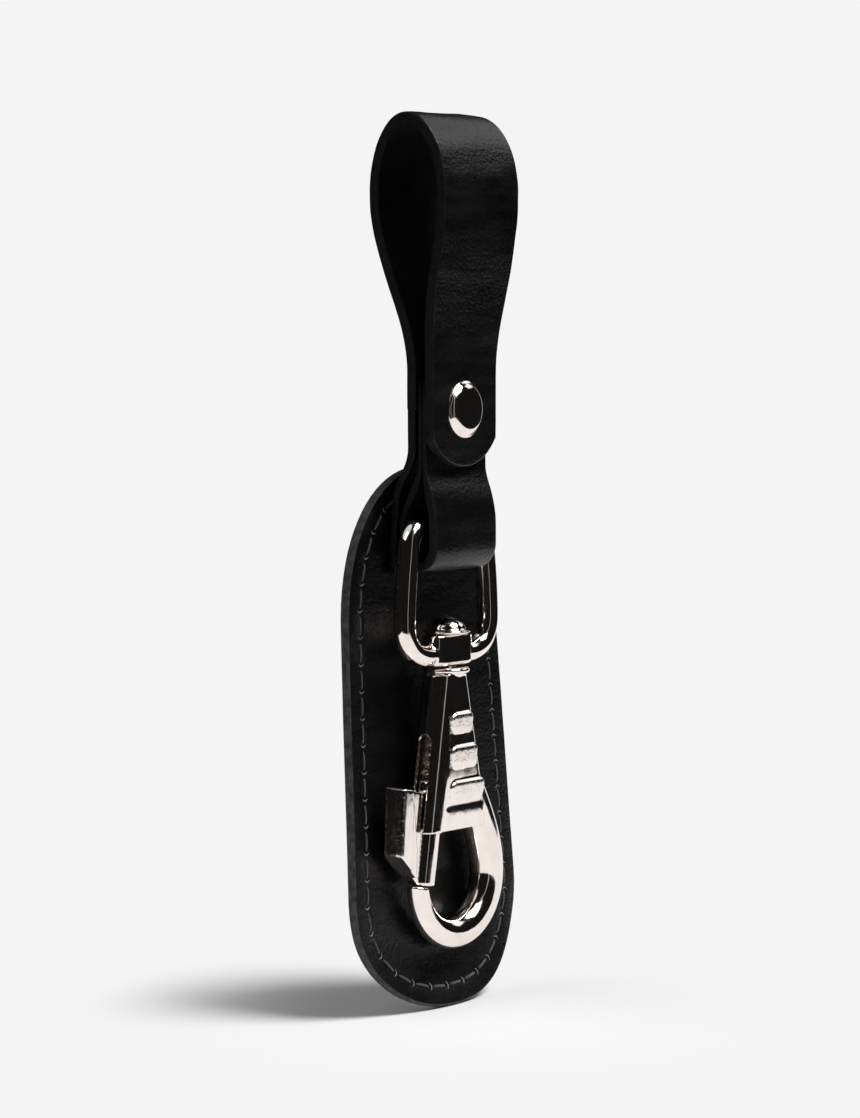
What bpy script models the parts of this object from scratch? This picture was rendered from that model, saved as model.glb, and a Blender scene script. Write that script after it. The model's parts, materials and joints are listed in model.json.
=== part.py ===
"""Leather belt-loop key holder: snap loop, folded hanger, sewn guard and a swivel bolt snap.

Metres, +Z up, -Y to the front. The origin is the inner top of the belt loop.
"""
import math

import bmesh
import bpy
import numpy as np
from mathutils import Matrix, Vector

MM = 0.001
GAP = 0.3 * MM
OVERRUN = 2.0 * MM
WELD = 0.001 * MM

# Belt loop
STRAP_THICKNESS = 1.7 * MM
LOOP_WIDTH = 21.8 * MM
SNAP_WIDTH = 18.8 * MM
LOOP_FRONT = 6.0 * MM
LOOP_REAR = 9.3 * MM
LOOP_WIDEST = 12.5 * MM
LOOP_DROP = 44.5 * MM
APEX_BACK = 2.4 * MM
TAPER_START = 26.0 * MM
FLAP_END = 60.7 * MM
FLAP_ROUND = 6.2 * MM
FLANK_POWER = 1.2
LOOP_STEPS = 12

# Hanger
HANGER_WIDTH = 17.8 * MM
HANGER_THICKNESS = 1.8 * MM
HANGER_BACK = 1.1 * MM
HANGER_TOP = 45.3 * MM
HANGER_OPENS = 60.0 * MM
FOLD_SLACK = 3.5 * MM
BAR_ROOM = 0.75 * MM

# Guard and the strap's tail on it
GUARD_LEATHER = 0.8 * MM
GUARD_TOP = 60.7 * MM
GUARD_LENGTH = 96.6 * MM
GUARD_TOP_WIDTH = 43.8 * MM
GUARD_LOW_WIDTH = 47.4 * MM
GUARD_TOP_ROUND = 29.7 * MM
GUARD_LOW_ROUND = 20.8 * MM
GUARD_TOP_POWER = 2.4
GUARD_LOW_POWER = 2.2
GUARD_SIDE = 1.3 * MM
GUARD_SKEW = 0.01
GUARD_FRONT = 7.25 * MM
GUARD_LEAN_SHARE = 0.056
GUARD_CURL = 3.0 * MM
GUARD_CURL_HEIGHT = 31.0 * MM
HEM_CURL = 3.3 * MM
HEM_HEIGHT = 14.3 * MM
TAIL_THICKNESS = 1.3 * MM
TAIL_WIDTH = 18.0 * MM
TAIL_SPLIT = 61.2 * MM
TAIL_BEND_START = 57.0 * MM
TAIL_BEND_END = 66.0 * MM
TAIL_END = 79.5 * MM
GUARD_STEPS = 10
OUTLINE_STEPS = 20

# Press stud
SNAP_DROP = 50.5 * MM
CAP_DIAMETER = 10.2 * MM
CAP_HEIGHT = 1.5 * MM
CAP_RIM = 0.3 * MM
POST_DIAMETER = 2.8 * MM
POST_BORE = 1.4 * MM
SOCKET_DIAMETER = 8.4 * MM
SOCKET_HEIGHT = 1.0 * MM
SOCKET_BORE = 4.9 * MM
STUD_BASE_DIAMETER = 7.8 * MM
STUD_BASE_HEIGHT = 0.4 * MM
STUD_BALL_DIAMETER = 4.2 * MM
STUD_BALL_HEIGHT = 0.95 * MM
BACK_HEAD_DIAMETER = 8.6 * MM
BACK_HEAD_HEIGHT = 0.6 * MM
SNAP_STEPS = 28

# Swivel eye, whose outline is given as shares of its half span and of its height
CHAIN_BACK = 1.2 * MM
EYE_DROP = 71.1 * MM
EYE_FOOT_DROP = 94.0 * MM
EYE_WIRE_DIAMETER = 3.9 * MM
EYE_SPAN = 23.6 * MM
EYE_SHARES = (
    (0, 0), (0.3, 0), (0.5, 0), (0.644, 0), (0.758, 0.012), (0.853, 0.045), (0.918, 0.094),
    (0.941, 0.153), (0.955, 0.22), (0.985, 0.33), (1, 0.45), (1, 0.58), (1, 0.71),
    (0.95, 0.8), (0.82, 0.9), (0.61, 0.98), (0.4, 1), (0.2, 1), (0, 1),
)
BASE_DROP = 93.2 * MM
BASE_HEIGHT = 5.6 * MM
BASE_DEPTH = 5.4 * MM
BASE_LENGTH = 11.0 * MM
BASE_ROUND = 1.2 * MM
PATH_STEPS = 2

# Swivel rivet
RIVET_DIAMETER = 3.4 * MM
RIVET_HEAD_DIAMETER = 8.4 * MM
RIVET_HEAD_HEIGHT = 2.9 * MM
RIVET_DEPTH = 3.0 * MM

# Hook casting
COLLAR_DIAMETER = 8.4 * MM
COLLAR_HEIGHT = 1.5 * MM
BODY_HEIGHT = 27.5 * MM
BORE_DIAMETER = 5.4 * MM
BORE_WALL = 0.7 * MM
BORE_DEPTH = 21.6 * MM
BORE_LEAN = 0.165
BORE_FOOT_X = 6.0 * MM
SLOT_WIDTH = 2.5 * MM
SLOT_HEIGHT = 17.0 * MM
BODY_TOP_RIGHT = 3.2 * MM
BODY_FOOT_RIGHT = 9.5 * MM
BODY_CORNER = 2.5 * MM
RIB_RISE = 0.45 * MM
RIB_LEFT = 3.9 * MM
RIB_DROPS = (6.3 * MM, 11.5 * MM, 17.2 * MM)
RIB_HEIGHTS = (3.9 * MM, 4.8 * MM, 5.4 * MM)
HOOK_RADIUS = 10.25 * MM
HOOK_CENTRE_X = 1.8 * MM
HOOK_CENTRE_DROP = 134.2 * MM
HOOK_ARM_DIAMETER = 6.7 * MM
HOOK_TIP_DIAMETER = 4.3 * MM
HOOK_FLATTEN_SHARE = 0.87
HOOK_TIP_DROP = 0.8 * MM
HOOK_TIP_TRIM = 1.2 * MM
HOOK_ROOT_SHARE = 0.6
HOOK_SWEEP_POWER = 0.6

# Gate bolt and spring
BOLT_DIAMETER = 4.9 * MM
BOLT_LENGTH = 18.5 * MM
GATE_TRAVEL = 9.3 * MM
WING_THICKNESS = 4.6 * MM
WEB_THICKNESS = 1.9 * MM
WING_INNER = 7.6 * MM
WING_OUTER = 10.4 * MM
WING_DRAFT = 1.6 * MM
WING_INNER_FOOT = 3.4 * MM
WING_FOOT = 5.8 * MM
WING_TOP = 16.7 * MM
WING_ROUND = 0.35 * MM
SPRING_WIRE = 0.45 * MM
SPRING_DIAMETER = 4.2 * MM
SPRING_TURNS = 7
TURN_POINTS = 9

# Levels worked out from the sizes above
FLAP_Y = -(HANGER_THICKNESS / 2 + GAP + STRAP_THICKNESS / 2)
REAR_Y = -FLAP_Y
LOOP_TOP = STRAP_THICKNESS / 2
BASE_TOP = -BASE_DROP + BASE_HEIGHT / 2
BASE_FOOT = -BASE_DROP - BASE_HEIGHT / 2
COLLAR_TOP = BASE_FOOT - GAP
BODY_TOP = COLLAR_TOP - COLLAR_HEIGHT
BODY_FOOT = BODY_TOP - BODY_HEIGHT
BARREL_RADIUS = BORE_DIAMETER / 2 + BORE_WALL
BORE_ANGLE = math.atan(BORE_LEAN)
HOOK_TIP_Z = -HOOK_CENTRE_DROP - HOOK_TIP_DROP
BOLT_FOOT = HOOK_TIP_Z + GAP


def clear_scene():
    for item in list(bpy.data.objects):
        bpy.data.objects.remove(item, do_unlink=True)


def make_collection(name):
    group = bpy.data.collections.new(name)
    bpy.context.scene.collection.children.link(group)
    return group


clear_scene()
PARTS = make_collection("belt_loop_key_holder")
CUTTERS = make_collection("cutters")


def make_material(name, colour, roughness, metallic):
    material = bpy.data.materials.new(name)
    material.use_nodes = True
    shader = material.node_tree.nodes["Principled BSDF"]
    shader.inputs["Base Color"].default_value = colour
    shader.inputs["Roughness"].default_value = roughness
    shader.inputs["Metallic"].default_value = metallic
    return material


GRAIN = make_material("black_leather", (0.012, 0.012, 0.013, 1), 0.42, 0)
LINING = make_material("guard_leather", (0.02, 0.02, 0.02, 1), 0.6, 0)
NICKEL = make_material("polished_nickel", (0.86, 0.80, 0.75, 1), 0.12, 1)
STEEL = make_material("spring_steel", (0.55, 0.54, 0.52, 1), 0.3, 1)


def add_object(name, mesh, material=None, cutter=False):
    item = bpy.data.objects.new(name, mesh)
    (CUTTERS if cutter else PARTS).objects.link(item)
    if cutter:
        item.hide_render = True
        item.display_type = "WIRE"
    if material:
        mesh.materials.clear()
        mesh.materials.append(material)
    return item


def face_out(bm):
    bmesh.ops.recalc_face_normals(bm, faces=bm.faces)
    if bm.calc_volume(signed=True) < 0:
        bmesh.ops.reverse_faces(bm, faces=bm.faces)


def solid_mesh(name, build):
    """A mesh filled by build(bm), closed and facing out."""
    bm = bmesh.new()
    build(bm)
    face_out(bm)
    mesh = bpy.data.meshes.new(name)
    bm.to_mesh(mesh)
    bm.free()
    return mesh


def curve_mesh(curve, matrix=Matrix.Identity(4)):
    """The curve's welded mesh, in place; the curve itself is removed."""
    guide = bpy.data.objects.new("guide", curve)
    bpy.context.scene.collection.objects.link(guide)
    guide.matrix_world = matrix
    bpy.context.view_layer.update()
    evaluated = guide.evaluated_get(bpy.context.evaluated_depsgraph_get())
    mesh = bpy.data.meshes.new_from_object(evaluated)
    bm = bmesh.new()
    bm.from_mesh(mesh)
    bmesh.ops.remove_doubles(bm, verts=bm.verts, dist=WELD)
    bm.transform(matrix)
    face_out(bm)
    bm.to_mesh(mesh)
    bm.free()
    bpy.data.objects.remove(guide, do_unlink=True)
    return mesh


ALONG_X = Matrix(((0, 0, 1, 0), (1, 0, 0, 0), (0, 1, 0, 0), (0, 0, 0, 1)))
ALONG_Y = Matrix.Rotation(math.radians(90), 4, "X")


def plate_mesh(name, outlines, thickness, matrix, rounding=0.0):
    """Flat outlines filled and given a thickness; a second outline is a hole."""
    curve = bpy.data.curves.new(name, "CURVE")
    curve.dimensions = "2D"
    curve.fill_mode = "BOTH"
    curve.extrude = thickness / 2 - rounding
    curve.bevel_depth = rounding
    curve.bevel_resolution = 1
    for outline in outlines:
        spline = curve.splines.new("POLY")
        spline.points.add(len(outline) - 1)
        for point, (u, v) in zip(spline.points, outline):
            point.co = (u, v, 0, 1)
        spline.use_cyclic_u = True
    return curve_mesh(curve, matrix)


def tube_mesh(name, points, radii, sides_level, closed=False):
    """A tube through points whose radius changes along the way."""
    curve = bpy.data.curves.new(name, "CURVE")
    curve.dimensions = "3D"
    curve.bevel_depth = 1
    curve.bevel_resolution = sides_level
    curve.use_fill_caps = not closed
    spline = curve.splines.new("POLY")
    spline.points.add(len(points) - 1)
    for point, place, radius in zip(spline.points, points, radii):
        point.co = (*place, 1)
        point.radius = radius
    spline.use_cyclic_u = closed
    return curve_mesh(curve)


def turned_object(name, profile, steps, material=None, cutter=False, closed=False):
    """A profile of (radius, height), top to bottom on its outer side, turned about Z."""
    mesh = bpy.data.meshes.new(name)
    points = [(radius, 0, height) for radius, height in profile]
    edges = [(i, i + 1) for i in range(len(points) - 1)]
    if closed:
        edges.append((len(points) - 1, 0))
    mesh.from_pydata(points, edges, [])
    item = add_object(name, mesh, material, cutter)
    screw = item.modifiers.new("turn", "SCREW")
    screw.steps = steps
    screw.render_steps = steps
    screw.use_merge_vertices = True
    screw.merge_threshold = WELD
    screw.use_smooth_shade = True
    return item


def cylinder_mesh(name, radius, low, high, matrix=Matrix.Identity(4), sides=28):
    def build(bm):
        place = matrix @ Matrix.Translation((0, 0, (low + high) / 2))
        bmesh.ops.create_cone(
            bm, cap_ends=True, segments=sides, radius1=radius, radius2=radius,
            depth=high - low, matrix=place,
        )

    return solid_mesh(name, build)


def box_mesh(name, low, high, rounding=0.0, matrix=Matrix.Identity(4)):
    """A box between two corners, with rounded edges if asked."""
    low, high = Vector(low), Vector(high)

    def build(bm):
        size = Matrix.Diagonal((*(high - low), 1))
        bmesh.ops.create_cube(bm, size=1, matrix=Matrix.Translation((low + high) / 2) @ size)
        if rounding:
            bmesh.ops.bevel(
                bm, geom=list(bm.edges), offset=rounding, segments=3, profile=0.5,
                affect="EDGES",
            )
        bm.transform(matrix)

    return solid_mesh(name, build)


def combine(item, other_mesh, operation):
    """Keeps a live Boolean with the other mesh, which becomes a cutter."""
    other = add_object(item.name + "_" + operation.lower(), other_mesh, cutter=True)
    return combine_object(item, other, operation)


def combine_object(item, other, operation):
    boolean = item.modifiers.new(operation.lower(), "BOOLEAN")
    boolean.operation = operation
    boolean.solver = "EXACT"
    boolean.object = other
    return item


def joint_empty(name, place):
    """An empty on a joint's axis, which carries the pieces that move there."""
    empty = bpy.data.objects.new(name, None)
    empty.location = place
    PARTS.objects.link(empty)
    bpy.context.view_layer.update()
    return empty


def carry(empty, *items):
    for item in items:
        item.parent = empty
        item.matrix_parent_inverse = empty.matrix_world.inverted()


def blend_share(value):
    """0 to 1 along a smooth step."""
    value = min(max(value, 0), 1)
    return value * value * (3 - 2 * value)


def loop_path(side_y, bulge_y):
    """Centre line of one half of the loop as (y, z), from its apex down to the press stud."""
    path = []
    for angle in np.linspace(0, math.pi / 2, LOOP_STEPS):
        y = APEX_BACK + (bulge_y - APEX_BACK) * math.sin(angle)
        z = LOOP_TOP - (LOOP_TOP + LOOP_WIDEST) * (1 - math.cos(angle))
        path.append((y, z))
    for share in np.linspace(0, 1, LOOP_STEPS)[1:]:
        fall = (0.5 * (1 + math.cos(math.pi * share))) ** FLANK_POWER
        z = -LOOP_WIDEST - (LOOP_DROP - LOOP_WIDEST) * share
        path.append((side_y + (bulge_y - side_y) * fall, z))
    return path


def band_outline(path, thickness):
    """Closed outline of a band along a path; thickness is one value or one for each point."""
    points = np.array(path)
    slope = np.gradient(points, axis=0)
    slope /= np.linalg.norm(slope, axis=1)[:, None]
    normal = np.column_stack((-slope[:, 1], slope[:, 0]))
    half = np.broadcast_to(np.asarray(thickness) / 2, len(points))[:, None]
    return [*(points + normal * half), *(points - normal * half)[::-1]]


def strap_half_width(z):
    """Half the strap's width at height z, wide round the belt and narrow at the stud."""
    share = blend_share((-z - TAPER_START) / (LOOP_DROP - TAPER_START))
    return (LOOP_WIDTH + (SNAP_WIDTH - LOOP_WIDTH) * share) / 2


def front_outline(foot, round_height):
    """The strap's outline seen from the front, with a round end when it has a height."""
    top = STRAP_THICKNESS + OVERRUN
    shoulder = foot - round_height
    heights = [-top, *np.linspace(TAPER_START, LOOP_DROP, LOOP_STEPS), shoulder]
    right = [(strap_half_width(-drop), -drop) for drop in heights]
    if round_height:
        half = strap_half_width(-shoulder)
        for angle in np.linspace(0, math.pi / 2, LOOP_STEPS)[1:]:
            reach = half * math.cos(angle)
            right.append((reach, -shoulder - round_height * math.sin(angle)))
    left = [(-x, z) for x, z in right[::-1] if x > WELD]
    return right + left


def strap_piece(name, path, thickness, outline):
    """A leather band bent along path and trimmed to an outline seen from the front."""
    width = 2 * LOOP_WIDTH
    mesh = plate_mesh(name, [band_outline(path, thickness)], width, ALONG_X)
    item = add_object(name, mesh, GRAIN)
    depth = 4 * (LOOP_FRONT + LOOP_REAR)
    return combine(item, plate_mesh(name + "_trim", [outline], depth, ALONG_Y), "INTERSECT")


def guard_front_y(z):
    """The guard's front face: a leaning plane, curled forward to the tail and at its hem."""
    plane = GUARD_FRONT + (z + GUARD_TOP + GUARD_CURL_HEIGHT) * GUARD_LEAN_SHARE
    rise = max(z + GUARD_TOP + GUARD_CURL_HEIGHT, 0) / GUARD_CURL_HEIGHT
    fall = max(-z - GUARD_TOP - GUARD_LENGTH + HEM_HEIGHT, 0) / HEM_HEIGHT
    return plane - GUARD_CURL * rise ** 2 - HEM_CURL * fall ** 2


def guard_outline():
    """The guard's egg-shaped outline as (x, z), hanging slightly askew from its top."""
    right = []
    low = GUARD_LENGTH - GUARD_LOW_ROUND
    top_share, low_share = 2 / GUARD_TOP_POWER, 2 / GUARD_LOW_POWER
    for angle in np.linspace(0, math.pi / 2, OUTLINE_STEPS // 2 + 1):
        reach = GUARD_TOP_WIDTH / 2 * math.sin(angle) ** top_share
        rise = abs(math.cos(angle)) ** top_share
        right.append((reach, GUARD_TOP_ROUND * (1 - rise)))
    for angle in np.linspace(math.pi / 2, 0, OUTLINE_STEPS // 2 + 1):
        reach = GUARD_LOW_WIDTH / 2 * math.sin(angle) ** low_share
        fall = abs(math.cos(angle)) ** low_share
        right.append((reach, low + GUARD_LOW_ROUND * fall))
    left = [(-x, drop) for x, drop in right[::-1] if x > WELD]
    askew = Matrix.Rotation(GUARD_SKEW, 2)
    corner = Vector((GUARD_SIDE, -GUARD_TOP))
    return [tuple(corner + askew @ Vector((x, -drop))) for x, drop in right + left]


def guard_layer(name, offset, material):
    """One leather layer of the guard, whose front face lies offset behind the guard's front."""
    heights = [*np.linspace(-GUARD_TOP + OVERRUN, -GUARD_TOP - GUARD_CURL_HEIGHT, GUARD_STEPS)]
    hem = -GUARD_TOP - GUARD_LENGTH
    heights += [*np.linspace(hem + HEM_HEIGHT, hem - OVERRUN, GUARD_STEPS)]
    path = [(guard_front_y(z) + offset + GUARD_LEATHER / 2, z) for z in heights]
    outline = band_outline(path, GUARD_LEATHER)
    item = add_object(name, plate_mesh(name, [outline], 2 * GUARD_LOW_WIDTH, ALONG_X), material)
    trim = plate_mesh(name + "_trim", [guard_outline()], 8 * GUARD_FRONT, ALONG_Y)
    return combine(item, trim, "INTERSECT")


def tail_y(z):
    """Centre of the strap's tail, from the stack back on to the guard's front."""
    share = blend_share((-z - TAIL_BEND_START) / (TAIL_BEND_END - TAIL_BEND_START))
    on_guard = guard_front_y(z) - GAP - TAIL_THICKNESS / 2
    return REAR_Y + (on_guard - REAR_Y) * share


def snap_axis(y):
    """Turns a piece built along +Z so that it points to the front at the stud."""
    return Matrix.Translation((0, y, -SNAP_DROP)) @ Matrix.Rotation(math.radians(90), 4, "X")


def make_belt_loop():
    path = loop_path(REAR_Y, LOOP_REAR)
    path[0] = (path[0][0] + GAP / 2, path[0][1])
    drops = np.linspace(LOOP_DROP, TAIL_SPLIT - GAP / 2, LOOP_STEPS)[1:]
    path += [(tail_y(-drop), -drop) for drop in drops]
    outline = front_outline(TAIL_SPLIT + OVERRUN, 0)
    item = strap_piece("belt_loop", path, STRAP_THICKNESS, outline)
    radius = POST_DIAMETER / 2 + GAP
    hole = cylinder_mesh("belt_loop_hole", radius, -OVERRUN, OVERRUN, snap_axis(REAR_Y))
    return combine(item, hole, "DIFFERENCE")


def make_flap():
    path = loop_path(FLAP_Y, -LOOP_FRONT)
    path[0] = (path[0][0] - GAP / 2, path[0][1])
    path.append((FLAP_Y, -FLAP_END - OVERRUN))
    item = strap_piece("strap_flap", path, STRAP_THICKNESS, front_outline(FLAP_END, FLAP_ROUND))
    radius = POST_DIAMETER / 2 + GAP
    hole = cylinder_mesh("flap_hole", radius, -OVERRUN, OVERRUN, snap_axis(FLAP_Y))
    combine(item, hole, "DIFFERENCE")
    recess = SOCKET_HEIGHT
    face = FLAP_Y + STRAP_THICKNESS / 2
    radius = SOCKET_DIAMETER / 2 + GAP
    pocket = cylinder_mesh("flap_pocket", radius, -OVERRUN, recess, snap_axis(face))
    return combine(item, pocket, "DIFFERENCE")


def make_tail():
    drops = np.linspace(TAIL_SPLIT + GAP / 2, TAIL_END, LOOP_STEPS)
    path = [(tail_y(-drop), -drop) for drop in drops]
    mesh = plate_mesh("strap_tail", [band_outline(path, TAIL_THICKNESS)], TAIL_WIDTH, ALONG_X)
    return add_object("strap_tail", mesh, GRAIN)


def make_hanger():
    """The hanger's two legs meet above the bar; below, they open round it."""
    inner = EYE_WIRE_DIAMETER / 2 + BAR_ROOM
    low = -EYE_DROP - FOLD_SLACK
    front_y = CHAIN_BACK - inner
    back_y = CHAIN_BACK + inner
    outer, hole = [], []
    half = HANGER_THICKNESS / 2
    outer_front, outer_back = front_y - HANGER_THICKNESS, back_y + HANGER_BACK
    steps = LOOP_STEPS // 2
    for share in np.linspace(0, 1, steps):
        z = -HANGER_OPENS + (EYE_DROP - HANGER_OPENS) * -share
        outer.append((-half + (outer_front + half) * blend_share(share), z))
    for angle in np.linspace(math.pi, 2 * math.pi, LOOP_STEPS):
        centre = (outer_front + outer_back) / 2
        reach = (outer_back - outer_front) / 2
        depth = inner + HANGER_THICKNESS
        outer.append((centre + reach * math.cos(angle), low + depth * math.sin(angle)))
    for share in np.linspace(1, 0, steps):
        z = -HANGER_OPENS + (EYE_DROP - HANGER_OPENS) * -share
        outer.append((half + (outer_back - half) * blend_share(share), z))
    outer += [(half, -HANGER_TOP), (-half, -HANGER_TOP)]
    crown = HANGER_OPENS + HANGER_THICKNESS
    hole.append((0, -crown))
    for share in np.linspace(0, 1, steps)[1:]:
        z = -crown + (EYE_DROP - crown) * -share
        hole.append((front_y * blend_share(share), z))
    for angle in np.linspace(math.pi, 2 * math.pi, LOOP_STEPS):
        hole.append((CHAIN_BACK + inner * math.cos(angle), low + inner * math.sin(angle)))
    for share in np.linspace(1, 0, steps)[:-1]:
        z = -crown + (EYE_DROP - crown) * -share
        hole.append((back_y * blend_share(share), z))
    mesh = plate_mesh("hanger_strap", [outer, hole], HANGER_WIDTH, ALONG_X)
    item = add_object("hanger_strap", mesh, GRAIN)
    radius = POST_DIAMETER / 2 + GAP
    combine(item, cylinder_mesh("hanger_hole", radius, -OVERRUN, OVERRUN, snap_axis(0)), "DIFFERENCE")
    recess = STUD_BASE_HEIGHT + GAP
    radius = STUD_BASE_DIAMETER / 2 + GAP
    pocket = cylinder_mesh("hanger_pocket", radius, -recess, OVERRUN, snap_axis(-half))
    return combine(item, pocket, "DIFFERENCE")


def make_snap():
    cap_seat = FLAP_Y - STRAP_THICKNESS / 2 - GAP
    socket_floor = FLAP_Y + STRAP_THICKNESS / 2 - SOCKET_HEIGHT + GAP
    cap_profile = [(0, CAP_HEIGHT)]
    for angle in np.linspace(math.pi / 2, 0, 7)[1:]:
        reach = (CAP_DIAMETER / 2 - CAP_RIM) * math.cos(angle) + CAP_RIM * math.cos(angle / 2)
        cap_profile.append((reach, CAP_RIM + (CAP_HEIGHT - CAP_RIM) * math.sin(angle)))
    post = cap_seat - socket_floor
    cap_profile += [
        (CAP_DIAMETER / 2 - CAP_RIM, 0),
        (POST_DIAMETER / 2, 0),
        (POST_DIAMETER / 2, post),
        (0, post),
    ]
    cap = turned_object("snap_cap", cap_profile, SNAP_STEPS, NICKEL)
    cap.matrix_world = snap_axis(cap_seat)
    inner, outer = SOCKET_BORE / 2, SOCKET_DIAMETER / 2
    socket_profile = [
        (outer - CAP_RIM / 2, 0), (outer, -CAP_RIM / 2), (outer, -SOCKET_HEIGHT + CAP_RIM / 2),
        (outer - CAP_RIM / 2, -SOCKET_HEIGHT), (inner, -SOCKET_HEIGHT), (inner, 0),
    ]
    socket = turned_object("snap_socket", socket_profile, SNAP_STEPS, NICKEL, closed=True)
    socket.matrix_world = snap_axis(socket_floor)
    stud_seat = -HANGER_THICKNESS / 2 + STUD_BASE_HEIGHT
    base, ball, bore = STUD_BASE_DIAMETER / 2, STUD_BALL_DIAMETER / 2, POST_DIAMETER / 2 + GAP
    top = STUD_BASE_HEIGHT + STUD_BALL_HEIGHT
    waist = ball - CAP_RIM / 2
    stud_profile = [
        (bore, top), (waist, top), (ball, top - STUD_BALL_HEIGHT / 3),
        (waist, STUD_BASE_HEIGHT), (base, STUD_BASE_HEIGHT), (base, 0), (bore, 0),
    ]
    stud = turned_object("snap_stud", stud_profile, SNAP_STEPS, NICKEL, closed=True)
    stud.matrix_world = snap_axis(stud_seat)
    back_seat = REAR_Y + STRAP_THICKNESS / 2 + GAP
    length = back_seat - stud_seat + STUD_BASE_HEIGHT
    shank, hollow, head = POST_DIAMETER / 2, POST_BORE / 2, BACK_HEAD_DIAMETER / 2
    post_profile = [
        (0, length - BACK_HEAD_HEIGHT), (hollow, length - BACK_HEAD_HEIGHT), (hollow, length),
        (shank, length), (shank, 0), (head - CAP_RIM, 0), (head, -BACK_HEAD_HEIGHT / 2),
        (head - CAP_RIM, -BACK_HEAD_HEIGHT), (0, -BACK_HEAD_HEIGHT),
    ]
    back = turned_object("snap_post", post_profile, SNAP_STEPS, NICKEL)
    back.matrix_world = snap_axis(back_seat)
    return cap, socket


def smooth_ring(points):
    """A closed path through the points, with more points on the curves between them."""
    path = []
    count = len(points)
    for i in range(count):
        before, start, end, after = (np.array(points[(i + k) % count]) for k in (-1, 0, 1, 2))
        for step in range(PATH_STEPS):
            share = step / PATH_STEPS
            straight = start + (end - start) * blend_share(share)
            leave = (end - before) / 2 * share * (1 - share) ** 2
            arrive = (after - start) / 2 * share ** 2 * (1 - share)
            path.append(straight + leave - arrive)
    return path


def ring_path():
    """Centre line of the eye as (x, z): its bar, tight upper corners and rounded sides."""
    half, height = EYE_SPAN / 2, EYE_FOOT_DROP - EYE_DROP
    right = [(half * x, -EYE_DROP - height * drop) for x, drop in EYE_SHARES]
    return smooth_ring(right + [(-x, z) for x, z in right[-2:0:-1]])


def make_eye():
    points = [(x, CHAIN_BACK, z) for x, z in ring_path()]
    radii = [EYE_WIRE_DIAMETER / 2] * len(points)
    item = add_object("swivel_eye", tube_mesh("swivel_eye", points, radii, 4, True), NICKEL)
    low = (-BASE_LENGTH / 2, CHAIN_BACK - BASE_DEPTH / 2, BASE_FOOT)
    high = (BASE_LENGTH / 2, CHAIN_BACK + BASE_DEPTH / 2, BASE_TOP)
    combine(item, box_mesh("eye_base", low, high, BASE_ROUND), "UNION")
    hole = RIVET_DIAMETER / 2 + GAP
    centre = Matrix.Translation((0, CHAIN_BACK, 0))
    bore = cylinder_mesh("eye_bore", hole, BASE_FOOT - OVERRUN, BASE_TOP + OVERRUN, centre)
    return combine(item, bore, "DIFFERENCE")


def make_rivet():
    head, shank = RIVET_HEAD_DIAMETER / 2, RIVET_DIAMETER / 2
    seat = BASE_TOP + GAP
    profile = []
    for angle in np.linspace(math.pi / 2, 0, 7):
        profile.append((head * math.cos(angle), seat + RIVET_HEAD_HEIGHT * math.sin(angle)))
    foot = BODY_TOP - RIVET_DEPTH
    profile += [(shank, seat), (shank, foot), (0, foot)]
    item = turned_object("swivel_rivet", profile, SNAP_STEPS, NICKEL)
    item.location = (0, CHAIN_BACK, 0)
    return item


def bore_x(z):
    """X of the leaning bore's axis at height z."""
    return -BORE_FOOT_X + (z - BODY_FOOT) * BORE_LEAN


def bore_frame(z):
    """Placement on the bore's axis at height z, with local +Z up along it."""
    lean = Matrix.Rotation(BORE_ANGLE, 4, "Y")
    return Matrix.Translation((bore_x(z), CHAIN_BACK, z)) @ lean


def body_right(share):
    """The casting's right edge, from its neck at share 0 to its foot at share 1."""
    return BODY_TOP_RIGHT + (BODY_FOOT_RIGHT - BODY_TOP_RIGHT) * share


def body_section(z, share, side_points=9):
    """Ring of the casting: the bore's barrel on the left, a rounded web on the right."""
    ring = []
    left, right = bore_x(z), body_right(share)
    for angle in np.linspace(math.pi / 2, 3 * math.pi / 2, side_points):
        ring.append((
            left + BARREL_RADIUS * math.cos(angle),
            CHAIN_BACK + BARREL_RADIUS * math.sin(angle), z,
        ))
    for angle in np.linspace(-math.pi / 2, math.pi / 2, side_points):
        ring.append((
            right - BODY_CORNER + BODY_CORNER * math.cos(angle),
            CHAIN_BACK + BARREL_RADIUS * math.sin(angle), z,
        ))
    return ring


def body_mesh():
    """Loft through the casting's sections."""
    shares = np.linspace(0, 1, 9)

    def build(bm):
        rings = []
        for share in shares:
            z = BODY_TOP - BODY_HEIGHT * share
            rings.append([bm.verts.new(place) for place in body_section(z, share)])
        for upper, lower in zip(rings, rings[1:]):
            count = len(upper)
            for i in range(count):
                j = (i + 1) % count
                bm.faces.new((upper[i], upper[j], lower[j], lower[i]))
        bm.faces.new(rings[0])
        bm.faces.new(rings[-1])

    return solid_mesh("hook_body", build)


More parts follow.
